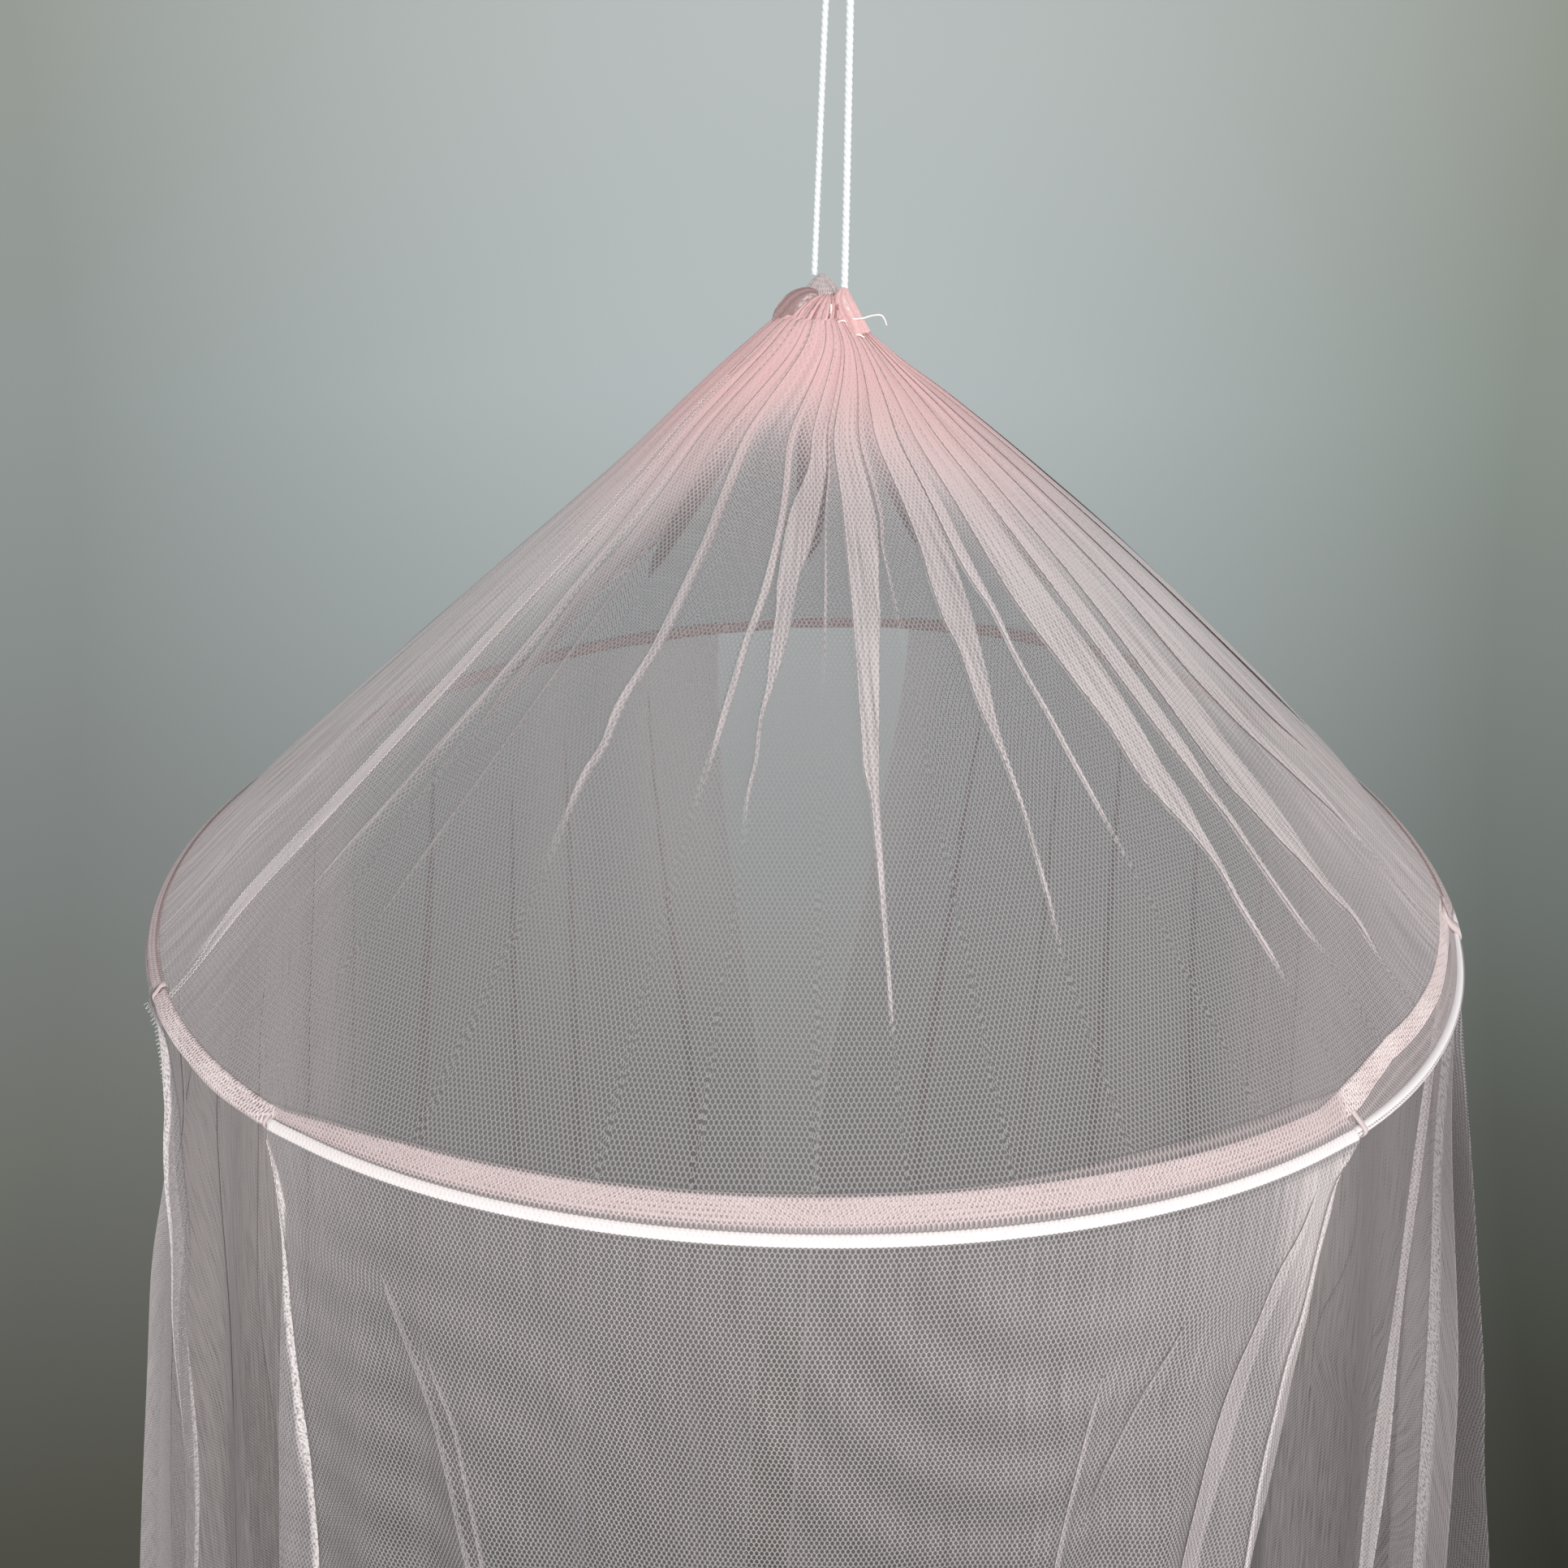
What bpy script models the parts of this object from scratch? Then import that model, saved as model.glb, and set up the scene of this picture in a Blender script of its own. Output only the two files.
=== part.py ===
# Mosquito net canopy on a hoop, hung by a cord.
# Metres, +Z up. The origin is the hang point, on the inside of the top of the cord's loop.
# The front is at -Y: the net's widest front panel faces that way.
# Angles round the hoop are degrees from the front, positive toward +X.

import math

import bmesh
import bpy
from mathutils import Vector

# Driving dimensions.
hoopRadius = 0.300
hoopWire = 0.0042
hoopDrop = 0.392            # from the hang point down to the plane of the hoop
crownRise = 0.2540          # from the plane of the hoop up to the middle of the crown
skirtLength = 2.05          # from the plane of the hoop down to the hem
netThickness = 0.0010
hemThickness = 0.0018
bandThickness = 0.0012
tabThickness = 0.0010
tabWidth = 0.0050
cordDiameter = 0.0032
seatGap = 0.0003            # clearance between pieces that touch
tabGap = 0.0005             # clearance inside the tabs, which go round polygons
tabLift = 0.0004            # a tab's inner side leaves the band this far above its lower edge

hoopZ = -hoopDrop
crownZ = hoopZ + crownRise

# The wire hoop is a little out of round and out of flat.
hoopSpread = [
    # waves round the hoop, share of the cosine, share of the sine
    (2, -0.0005, -0.0041),
    (3, -0.0028, 0.0015),
]
hoopLift = [
    (1, 0.0002, 0.0032),
    (2, 0.0052, -0.0025),
    (3, 0.0021, 0.0011),
]

# The net above the hoop: its radius at each drop below the crown's middle.
coneProfile = [
    # drop, radius, centre x
    (0.010, 0.0205, -0.0065),
    (0.020, 0.0320, -0.0065),
    (0.040, 0.0565, -0.0040),
    (0.070, 0.0915, -0.0010),
    (0.110, 0.1390, 0.0000),
    (0.160, 0.1970, 0.0000),
    (0.205, 0.2500, 0.0000),
]
innerConeFrom = 0.040       # the cloth is gathered solid above this drop
coneSideBulge = 0.007       # the right flank stands out this much at its fullest
coneSideSpan = 0.240        # drop over which it rises and falls again

# The pleats that run down the cone from the crown, each a narrowing ridge.
conePleats = [
    # angle at the crown, angle at the tip, drop of the tip, widest width
    (-171, -170, 0.190, 0.014),
    (-153, -155, 0.215, 0.016),
    (-136, -134, 0.175, 0.014),
    (-118, -120, 0.210, 0.016),
    (-101, -99, 0.190, 0.014),
    (-85, -86, 0.220, 0.015),
    (-71, -71, 0.195, 0.013),
    (-60, -60, 0.234, 0.008),
    (-51, -53, 0.212, 0.010),
    (-40, -42, 0.208, 0.010),
    (-27, -28, 0.178, 0.014),
    (-14, -15, 0.160, 0.013),
    (-5, -7, 0.164, 0.010),
    (9, 6, 0.209, 0.016),
    (18, 14, 0.150, 0.008),
    (26, 21, 0.194, 0.014),
    (34, 32, 0.178, 0.014),
    (42, 42, 0.214, 0.014),
    (51, 49, 0.213, 0.012),
    (60, 56, 0.226, 0.013),
    (70, 70, 0.209, 0.012),
    (84, 85, 0.180, 0.014),
    (101, 103, 0.215, 0.016),
    (118, 116, 0.190, 0.014),
    (135, 137, 0.220, 0.016),
    (153, 151, 0.180, 0.014),
    (170, 171, 0.205, 0.015),
]
pleatHeight = 0.0022
pleatTipWidth = 0.0012
pleatFade = 0.045           # length over which a ridge sinks back into the cloth above its tip

# The gathered cloth of the crown, in rings above the middle of the crown.
crownRings = [
    # height, slope of the top toward +X, centre x, radius x, radius y
    (-0.0050, 0.00, -0.0050, 0.0158, 0.0155),
    (-0.0005, -0.05, -0.0040, 0.0138, 0.0125),
    (0.0030, -0.15, -0.0035, 0.0125, 0.0105),
    (0.0058, -0.30, -0.0012, 0.0095, 0.0080),
]
crownTop = 0.0070

# The cord's two legs, from the left of the crown over the hang point to the right.
cordRoute = [
    # x, y, z below the hang point
    (-0.0064, 0.0020, crownZ + 0.0090),
    (-0.0060, 0.0020, -0.1000),
    (-0.0052, 0.0015, -0.0500),
    (-0.0046, 0.0008, -0.0160),
    (-0.0038, 0.0003, -0.0040),
    (0.0000, 0.0000, 0.0016),
    (0.0038, -0.0003, -0.0040),
    (0.0046, -0.0008, -0.0160),
    (0.0052, -0.0015, -0.0500),
    (0.0060, -0.0020, -0.1000),
    (0.0064, -0.0020, crownZ + 0.0054),
]
cordPoints = 64

# The stitched band at the foot of the cone: its section at angles round the hoop.
bandSeat = (0.2972, 0.0050, 0.2940, 0.0135)
bandInside = (0.2970, -0.0030, 0.2942, 0.0055)
bandClose = (0.2975, 0.0031, 0.2951, 0.0098)
bandOver = (0.3036, 0.0034, 0.3018, 0.0104)
bandOutside = (0.3036, -0.0034, 0.3026, 0.0056)
bandCut = (0.2880, 0.0055, 0.2852, 0.0140)
bandKeys = [
    # angle, (radius and height of the lower edge, radius and height of the upper edge)
    (-166.0, bandSeat),
    (-161.0, bandInside),
    (-71.0, bandInside),
    (-65.0, bandClose),
    (-60.0, bandClose),
    (-59.0, bandOver),
    (-57.6, bandOutside),
    (-43.9, bandOutside),
    (-42.6, bandOver),
    (-41.6, bandClose),
    (-39.0, bandClose),
    (-30.0, bandSeat),
    (42.0, bandSeat),
    (58.0, bandCut),
    (74.0, bandSeat),
    (79.0, bandSeat),
    (85.0, bandInside),
    (160.0, bandInside),
    (165.0, bandSeat),
    (171.0, bandSeat),
    (175.0, bandInside),
    (184.0, bandInside),
    (188.0, bandSeat),
]
bandStep = 4.0

# Tabs that hold the hoop under the band, one at each end of each panel.
tabAngles = {
    "tab_front_left": -40.4,
    "tab_front_right": 40.9,
    "tab_right": 75.4,
    "tab_back_right": 168.2,
    "tab_back_left": 190.8,
    "tab_left": -61.4,
}

# The skirt's panels. Each row is one fold line, from one edge of the panel to the other.
frontFolds = [
    # angle at the hoop, 0.16 m below it, at the hem, depth where it starts, reach at the hem
    (-39.6, -38.0, -45.0, 0.03, 0.008),
    (-36.5, -34.5, -40.5, 0.04, -0.022),
    (-32.5, -29.5, -35.5, 0.05, 0.018),
    (-29.5, -25.0, -29.0, 0.03, -0.024),
    (-26.0, -20.5, -22.0, 0.02, 0.034),
    (-19.0, -14.5, -16.0, 0.06, -0.016),
    (-12.0, -8.5, -10.5, 0.10, 0.020),
    (-5.0, -2.5, -4.5, 0.12, -0.028),
    (2.0, 3.5, 3.0, 0.12, 0.032),
    (9.0, 9.0, 9.0, 0.08, -0.018),
    (16.5, 13.5, 15.0, 0.04, 0.024),
    (23.0, 17.5, 20.0, 0.04, -0.026),
    (29.0, 21.5, 27.0, 0.02, 0.036),
    (34.0, 25.0, 33.0, 0.01, -0.016),
    (37.5, 28.0, 37.5, 0.01, 0.016),
    (40.1, 30.6, 42.0, 0.01, -0.004),
]
rightFolds = [
    (76.3, 78.0, 67.0, 0.01, -0.014),
    (78.5, 69.0, 64.0, 0.01, 0.036),
    (81.5, 75.0, 70.0, 0.01, 0.058),
    (86.0, 82.0, 77.0, 0.02, -0.022),
    (91.0, 88.5, 82.5, 0.04, 0.020),
    (97.0, 95.5, 89.0, 0.04, -0.030),
    (104.5, 104.0, 98.0, 0.06, 0.040),
    (111.0, 111.0, 106.5, 0.06, -0.020),
    (116.5, 117.0, 112.5, 0.05, 0.018),
    (123.0, 123.5, 119.5, 0.05, -0.032),
    (130.5, 131.0, 128.5, 0.04, 0.042),
    (138.0, 138.0, 137.0, 0.04, -0.026),
    (143.5, 144.0, 143.5, 0.06, 0.022),
    (149.0, 150.0, 150.5, 0.06, -0.018),
    (156.5, 157.5, 159.5, 0.03, 0.036),
    (162.5, 163.5, 167.5, 0.02, -0.022),
    (167.4, 168.0, 173.0, 0.01, 0.006),
]
leftFolds = [
    (191.6, 191.0, 187.0, 0.01, 0.006),
    (196.5, 196.0, 193.0, 0.02, -0.020),
    (203.5, 203.0, 201.0, 0.03, 0.034),
    (211.0, 210.5, 209.5, 0.05, -0.028),
    (217.0, 216.5, 215.0, 0.05, 0.022),
    (222.5, 222.0, 220.5, 0.04, -0.018),
    (230.0, 230.0, 228.5, 0.06, 0.038),
    (238.5, 239.0, 238.5, 0.06, -0.032),
    (245.0, 245.5, 246.0, 0.04, 0.024),
    (250.5, 251.0, 252.0, 0.04, -0.020),
    (257.5, 258.0, 259.5, 0.05, 0.026),
    (266.0, 267.0, 269.5, 0.05, -0.034),
    (274.5, 275.5, 278.0, 0.03, 0.040),
    (280.5, 282.0, 284.5, 0.03, -0.016),
    (286.5, 289.0, 291.0, 0.02, 0.030),
    (292.0, 294.5, 297.5, 0.02, -0.018),
    (297.8, 300.0, 303.0, 0.01, -0.006),
]
midDepth = 0.16
skirtDepths = [0.030, 0.080, 0.160, 0.320, 0.650, 1.100, 1.600, 2.020]
skirtTop = hoopRadius + hoopWire / 2 + 0.0015
skirtSlope = 0.150
skirtSlopeEase = 0.100
skirtSway = 0.020           # the skirt stands out this much further on its right front
skirtSwayAngle = 68
skirtSwayDepth = 0.300      # depth at which it has swayed out fully
roundFrom = 0.060           # below this depth the skirt hangs round, whatever the hoop does
stripRise = 0.0050          # the front panel is sewn on this far above the band
stripEndRise = 0.0015       # and this far above it at the panel's two ends
stripEndSpan = 6.0          # degrees over which the one runs into the other
stripStart = 0.0008         # the sewn edge starts this far above the band's upper edge
stripClear = 0.0005         # clearance between the sewn edge and the cone
stripShoulder = (0.0011, 0.0019)
hoopWrapAngles = [70, 35, 0]
hoopClear = 0.0006          # clearance between the hoop and a panel that passes over it
headLow = 0.0048            # a panel leaves the band no lower than this above the hoop's middle
hemFrom = 0.020             # side hems are full thickness from this depth down


def lerp(a, b, t):
    return a + (b - a) * t


def smooth(t):
    t = min(max(t, 0.0), 1.0)
    return t * t * (3 - 2 * t)


def wave(terms, angle):
    a = math.radians(angle)
    return sum(c * math.cos(order * a) + s * math.sin(order * a) for order, c, s in terms)


def ringPoint(radius, angle, height, follow=1.0):
    # A point in the cloth or the hoop. All of it follows the hoop's own bend, less near the axis.
    # Follow is the share of the hoop's sideways bend that the point takes.
    a = math.radians(angle)
    share = min(radius / hoopRadius, 1.0)
    bent = radius + share * follow * wave(hoopSpread, angle)
    lift = share * wave(hoopLift, angle)
    return Vector((bent * math.sin(a), -bent * math.cos(a), hoopZ + height + lift))


def interpolate(rows, x, column=1):
    if x <= rows[0][0]:
        return rows[0][column]
    for before, after in zip(rows, rows[1:]):
        if x <= after[0]:
            return lerp(before[column], after[column], (x - before[0]) / (after[0] - before[0]))
    return rows[-1][column]


def makeMaterial(name, colour, roughness, metallic=0.0):
    material = bpy.data.materials.new(name)
    material.use_nodes = True
    shader = material.node_tree.nodes["Principled BSDF"]
    shader.inputs["Base Color"].default_value = (*colour, 1.0)
    shader.inputs["Roughness"].default_value = roughness
    shader.inputs["Metallic"].default_value = metallic
    return material


def addObject(name, mesh, material, collection):
    thing = bpy.data.objects.new(name, mesh)
    thing.data.materials.append(material)
    collection.objects.link(thing)
    return thing


def loftRows(name, rows, closedAround, poles=()):
    # Joins rows of points with quads. A pole is (row index, point) and closes that row to a point.
    work = bmesh.new()
    grid = [[work.verts.new(p) for p in row] for row in rows]
    count = len(rows[0])
    spans = count if closedAround else count - 1
    for low, high in zip(grid, grid[1:]):
        for i in range(spans):
            j = (i + 1) % count
            work.faces.new((low[i], low[j], high[j], high[i]))
    for index, point in poles:
        tip = work.verts.new(point)
        row = grid[index]
        for i in range(count):
            work.faces.new((row[i], row[(i + 1) % count], tip))
    bmesh.ops.recalc_face_normals(work, faces=work.faces)
    mesh = bpy.data.meshes.new(name)
    work.to_mesh(mesh)
    work.free()
    return mesh


# The stitched band.

def bandSection(angle):
    keys = bandKeys + [(bandKeys[0][0] + 360, bandKeys[0][1])]
    a = (angle - keys[0][0]) % 360 + keys[0][0]
    for (a0, s0), (a1, s1) in zip(keys, keys[1:]):
        if a <= a1:
            t = (a - a0) / (a1 - a0)
            return [lerp(p, q, t) for p, q in zip(s0, s1)]
    return list(keys[-1][1])


def bandNormal(section):
    # Outward normal of the band in the (radius, height) plane.
    lowR, lowZ, highR, highZ = section
    length = math.hypot(highR - lowR, highZ - lowZ)
    return (highZ - lowZ) / length, (lowR - highR) / length


def buildBand(material, collection):
    angles = sorted({a % 360 for a, section in bandKeys}
                    | {k * bandStep for k in range(int(360 / bandStep))})
    angles = [a for a, b in zip(angles, angles[1:] + [angles[0] + 360]) if b - a > 0.4]
    corners = [[], [], [], []]
    for angle in angles:
        section = bandSection(angle)
        nr, nz = bandNormal(section)
        h = bandThickness / 2
        lowR, lowZ, highR, highZ = section
        corners[0].append(ringPoint(lowR + nr * h, angle, lowZ + nz * h))
        corners[1].append(ringPoint(highR + nr * h, angle, highZ + nz * h))
        corners[2].append(ringPoint(highR - nr * h, angle, highZ - nz * h))
        corners[3].append(ringPoint(lowR - nr * h, angle, lowZ - nz * h))
    mesh = loftRows("casing_band", corners + [corners[0]], True)
    weldMesh(mesh)
    addObject("casing_band", mesh, material, collection)


def weldMesh(mesh):
    work = bmesh.new()
    work.from_mesh(mesh)
    bmesh.ops.remove_doubles(work, verts=work.verts, dist=0.00001)
    bmesh.ops.recalc_face_normals(work, faces=work.faces)
    work.to_mesh(mesh)
    work.free()


# The hoop.

def buildHoop(material, collection):
    bpy.ops.mesh.primitive_torus_add(location=(0, 0, hoopZ), major_radius=hoopRadius,
                                     minor_radius=hoopWire / 2,
                                     major_segments=96, minor_segments=8)
    hoop = bpy.context.object
    hoop.name = "hoop"
    for vertex in hoop.data.vertices:
        angle = math.degrees(math.atan2(vertex.co.x, -vertex.co.y))
        spot = ringPoint(math.hypot(vertex.co.x, vertex.co.y), angle, vertex.co.z)
        vertex.co = spot - Vector((0, 0, hoopZ))
    hoop.data.shade_smooth()
    hoop.data.materials.append(material)
    for owner in hoop.users_collection:
        owner.objects.unlink(hoop)
    collection.objects.link(hoop)


# The cone of net, gathered at the crown.

def coneFoot(angle):
    # The cone's lower edge, seated on the upper edge of the band.
    lowR, lowZ, highR, highZ = bandSection(angle)
    return highR, highZ + seatGap + netThickness / 2


def coneRadius(drop, angle):
    footR, footZ = coneFoot(angle)
    rows = coneProfile + [(crownRise - footZ, footR, 0.0)]
    radius = interpolate(rows, drop)
    side = max(0.0, math.sin(math.radians(angle)))
    return radius + coneSideBulge * side * math.sin(math.pi * min(drop / coneSideSpan, 1.0))


def pleatAngle(pleat, drop):
    crownAngle, tipAngle, tipDrop, width = pleat
    return lerp(crownAngle, tipAngle, min(drop / tipDrop, 1.0))


def pleatWidth(pleat, drop):
    crownAngle, tipAngle, tipDrop, width = pleat
    return width * max(0.0, 1.0 - drop / tipDrop) + pleatTipWidth


def pleatColumns(drop):
    # (left edge, middle, right edge, ridge height) of every pleat at one drop.
    columns = []
    count = len(conePleats)
    for i, pleat in enumerate(conePleats):
        middle = pleatAngle(pleat, drop)
        before = pleatAngle(conePleats[i - 1], drop) - (360 if i == 0 else 0)
        after = pleatAngle(conePleats[(i + 1) % count], drop) + (360 if i == count - 1 else 0)
        half = math.degrees(pleatWidth(pleat, drop) / 2 / coneRadius(drop, middle))
        left = min(half, 0.38 * (middle - before))
        right = min(half, 0.38 * (after - middle))
        height = pleatHeight * smooth((pleat[2] - drop) / pleatFade)
        columns.append((middle - left, middle, middle + right, height))
    return columns


def plainFractions():
    # Where the plain cloth between two pleats is divided: at the band's own corners, or halfway.
    foot = pleatColumns(crownRise)
    fractions = []
    for i, pleat in enumerate(foot):
        start = pleat[2]
        end = foot[(i + 1) % len(foot)][0] + (360 if i == len(foot) - 1 else 0)
        corners = [(angle - start) % 360 / (end - start) for angle, section in bandKeys]
        inside = sorted(c for c in corners if 0.02 < c < 0.98)
        halfway = [0.5] if end - start > 8 else []
        fractions.append(inside or halfway)
    return fractions


def coneColumns(drop):
    # (angle, ridge height) round the cone at one drop, the same number at every drop.
    pleats = pleatColumns(drop)
    columns = []
    for i, (left, middle, right, height) in enumerate(pleats):
        end = pleats[(i + 1) % len(pleats)][0] + (360 if i == len(pleats) - 1 else 0)
        columns += [(left, 0.0), (middle, height), (right, 0.0)]
        columns += [(lerp(right, end, f), 0.0) for f in plainFractions()[i]]
    return columns


def coneRow(drop, inset):
    # Inset moves the row along the cone's inward normal, which keeps the cloth's thickness.
    points = []
    slope = math.atan2(crownRise, hoopRadius)
    aside = Vector((interpolate(coneProfile, drop, 2), 0, 0))
    for angle, ridge in coneColumns(drop):
        outward = ridge - inset
        radius = coneRadius(drop, angle) + outward * math.sin(slope)
        height = crownRise - drop + outward * math.cos(slope)
        points.append(ringPoint(radius, angle, height) + aside)
    return points


def coneFootRow(inset):
    points = []
    slope = math.atan2(crownRise, hoopRadius)
    for angle, ridge in coneColumns(crownRise):
        footR, footZ = coneFoot(angle)
        points.append(ringPoint(footR - inset * math.sin(slope), angle, footZ - inset * math.cos(slope)))
    return points


def crownRow(ring):
    height, slope, centreX, radiusX, radiusY = ring
    points = []
    for angle, ridge in coneColumns(0.0):
        a = math.radians(angle)
        x = centreX + radiusX * math.sin(a)
        y = -radiusY * math.cos(a)
        points.append(Vector((x, y, crownZ + height + slope * x)))
    return points


def buildCone(material, collection):
    half = netThickness / 2
    outer = [coneFootRow(-half)]
    outer += [coneRow(drop, -half) for drop, radius, centre in reversed(coneProfile)]
    outer += [crownRow(ring) for ring in crownRings]
    inner = [coneFootRow(half)]
    inner += [coneRow(drop, half) for drop, radius, centre in reversed(coneProfile) if drop >= innerConeFrom]
    rows = list(reversed(inner)) + outer
    innerTop = Vector((0, 0, crownZ - innerConeFrom + 0.012))
    outerTop = Vector((0, 0, crownZ + crownTop))
    mesh = loftRows("cone_net", rows, True, poles=((0, innerTop), (len(rows) - 1, outerTop)))
    addObject("cone_net", mesh, material, collection)


# The skirt's panels.

def skirtRadius(depth, angle):
    flare = skirtSlope * depth / (1 + skirtSlopeEase * depth)
    near = max(0.0, math.cos(math.radians(angle - skirtSwayAngle))) ** 6
    return skirtTop + flare + skirtSway * near * smooth(depth / skirtSwayDepth)


def foldAngle(fold, depth):
    top, middle, hem, start, reach = fold
    if depth < midDepth:
        return lerp(top, middle, smooth(depth / midDepth) if depth > 0 else 0.0)
    return lerp(middle, hem, smooth((depth - midDepth) / (skirtLength - midDepth)))


def foldReach(fold, depth):
    top, middle, hem, start, reach = fold
    return reach * max(0.0, (depth - start) / (skirtLength - start)) ** 0.75


def panelColumns(folds, depth):
    # Every fold line and the line halfway to the next one, as (angle, reach).
    lines = [(foldAngle(f, depth), foldReach(f, depth)) for f in folds]
    columns = [lines[0]]
    for before, after in zip(lines, lines[1:]):
        columns.append(((before[0] + after[0]) / 2, (before[1] + after[1]) / 2))
        columns.append(after)
    return columns


def panelHead(angle, rise):
    # The panel's head, from its sewn edge over the band and round the outside of the hoop.
    # Rise is how far above the band it is sewn on, or nothing when it starts at the band.
    section = bandSection(angle)
    lowR, lowZ, highR, highZ = section
    nr, nz = bandNormal(section)
    off = bandThickness / 2 + seatGap + netThickness / 2
    head = []
    if rise:
        along = math.atan2(crownRise, hoopRadius)
        clear = netThickness + stripClear
        head.append((highR - rise * math.cos(along) + clear * math.sin(along),
                     highZ + stripStart + rise * math.sin(along) + clear * math.cos(along)))
        head.append((highR + stripShoulder[0], highZ + stripShoulder[1]))
    head.append((highR + off * nr, highZ + off * nz))
    t = max(0.0, headLow - lowZ) / (highZ - lowZ)
    head.append((lerp(lowR, highR, t) + off * nr, lerp(lowZ, highZ, t) + off * nz))
    wrap = hoopWire / 2 + hoopClear + netThickness / 2
    for wrapAngle in hoopWrapAngles:
        a = math.radians(wrapAngle)
        head.append((hoopRadius + wrap * math.cos(a), wrap * math.sin(a)))
    return head


def stripHeight(folds, angle):
    fromEnd = min(angle - folds[0][0], folds[-1][0] - angle)
    return lerp(stripEndRise, stripRise, smooth(fromEnd / stripEndSpan))


def buildPanel(name, folds, withStrip, material, collection):
    topColumns = panelColumns(folds, 0.0)
    heads = [panelHead(angle, stripHeight(folds, angle) if withStrip else None)
             for angle, reach in topColumns]
    rows = []
    for k in range(len(heads[0])):
        rows.append([ringPoint(head[k][0], column[0], head[k][1])
                     for head, column in zip(heads, topColumns)])
    for depth in skirtDepths + [skirtLength]:
        row = []
        follow = max(0.0, 1 - depth / roundFrom)
        for angle, reach in panelColumns(folds, depth):
            row.append(ringPoint(skirtRadius(depth, angle) + reach, angle, -depth, follow))
        rows.append(row)
    mesh = loftRows(name, rows, False)
    panel = addObject(name, mesh, material, collection)
    turnOutward(panel)
    hem = panel.vertex_groups.new(name="hem")
    count = len(topColumns)
    headRows = len(heads[0])
    for r, depth in enumerate(skirtDepths + [skirtLength]):
        first = (headRows + r) * count
        if depth >= hemFrom:
            hem.add([first, first + count - 1], 1.0, "REPLACE")
        if depth > skirtDepths[-1] - 0.001:
            hem.add(range(first, first + count), 1.0, "REPLACE")
    solidify = panel.modifiers.new("cloth", "SOLIDIFY")
    solidify.thickness = hemThickness
    solidify.offset = 0.0
    solidify.vertex_group = "hem"
    solidify.thickness_vertex_group = netThickness / hemThickness


def turnOutward(panel):
    mesh = panel.data
    face = mesh.polygons[len(mesh.polygons) // 2]
    centre = face.center
    if face.normal.x * centre.x + face.normal.y * centre.y < 0:
        mesh.flip_normals()


# The tabs.

def tabPath(angle):
    # Mid line of a tab in the (radius, height) plane: down the band, under the hoop, back up.
    section = bandSection(angle)
    nr, nz = bandNormal(section)
    lowR, lowZ, highR, highZ = section
    off = bandThickness / 2 + tabGap + tabThickness / 2
    middleR, middleZ = (lowR + highR) / 2, (lowZ + highZ) / 2
    wrap = hoopWire / 2 + tabGap + tabThickness / 2
    path = [(middleR + off * nr, middleZ + off * nz), (lowR + off * nr, lowZ + off * nz)]
    for wrapAngle in range(60, -211, -30):
        a = math.radians(wrapAngle)
        path.append((hoopRadius + wrap * math.cos(a), wrap * math.sin(a)))
    path.append((lowR - off * nr, lowZ - off * nz + tabLift))
    path.append((middleR - off * nr, middleZ - off * nz))
    return path


def buildTab(name, angle, material, collection):
    a = math.radians(angle)
    side = Vector((math.cos(a), math.sin(a), 0)) * (tabWidth / 2)
    rows = []
    for radius, height in tabPath(angle):
        middle = ringPoint(radius, angle, height)
        rows.append([middle - side, middle + side])
    mesh = loftRows(name, rows, False)
    tab = addObject(name, mesh, material, collection)
    solidify = tab.modifiers.new("tape", "SOLIDIFY")
    solidify.thickness = tabThickness
    solidify.offset = 0.0
    solidify.use_even_offset = True


# The cord.

def smoothPath(points, count):
    # Points at even parameter steps along a Catmull-Rom curve through the given ones.
    given = [Vector(p) for p in points]
    padded = [given[0] * 2 - given[1]] + given + [given[-1] * 2 - given[-2]]
    path = []
    for k in range(count):
        s = k / (count - 1) * (len(given) - 1)
        i = min(int(s), len(given) - 2)
        t = s - i
        p0, p1, p2, p3 = padded[i:i + 4]
        path.append(0.5 * ((2 * p1) + (p2 - p0) * t + (2 * p0 - 5 * p1 + 4 * p2 - p3) * t ** 2
                           + (3 * p1 - p0 - 3 * p2 + p3) * t ** 3))
    return path


def buildCord(material, collection):
    curve = bpy.data.curves.new("hang_cord", "CURVE")
    curve.dimensions = "3D"
    curve.bevel_depth = cordDiameter / 2
    curve.bevel_resolution = 2
    curve.use_fill_caps = True
    spline = curve.splines.new("POLY")
    path = smoothPath(cordRoute, cordPoints)
    spline.points.add(len(path) - 1)
    for point, place in zip(spline.points, path):
        point.co = (*place, 1.0)
    addObject("hang_cord", curve, material, collection)


def main():
    for thing in list(bpy.data.objects):
        bpy.data.objects.remove(thing)
    collection = bpy.data.collections.new("mosquito_net_canopy")
    bpy.context.scene.collection.children.link(collection)

    net = makeMaterial("net", (0.80, 0.70, 0.69), 0.80)
    band = makeMaterial("band", (0.86, 0.62, 0.60), 0.75)
    tape = makeMaterial("tape", (0.85, 0.74, 0.72), 0.80)
    hoop = makeMaterial("hoop_coating", (0.90, 0.90, 0.89), 0.35)
    cord = makeMaterial("cord", (0.88, 0.89, 0.90), 0.70)

    buildCord(cord, collection)
    buildCone(net, collection)
    buildBand(band, collection)
    buildHoop(hoop, collection)
    buildPanel("front_panel", frontFolds, True, net, collection)
    buildPanel("right_panel", rightFolds, False, net, collection)
    buildPanel("left_panel", leftFolds, False, net, collection)
    for name, angle in tabAngles.items():
        buildTab(name, angle, tape, collection)


main()
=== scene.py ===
import math
from functools import partial

import bmesh
import bpy
import numpy as np
from mathutils import Matrix, Vector


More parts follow.
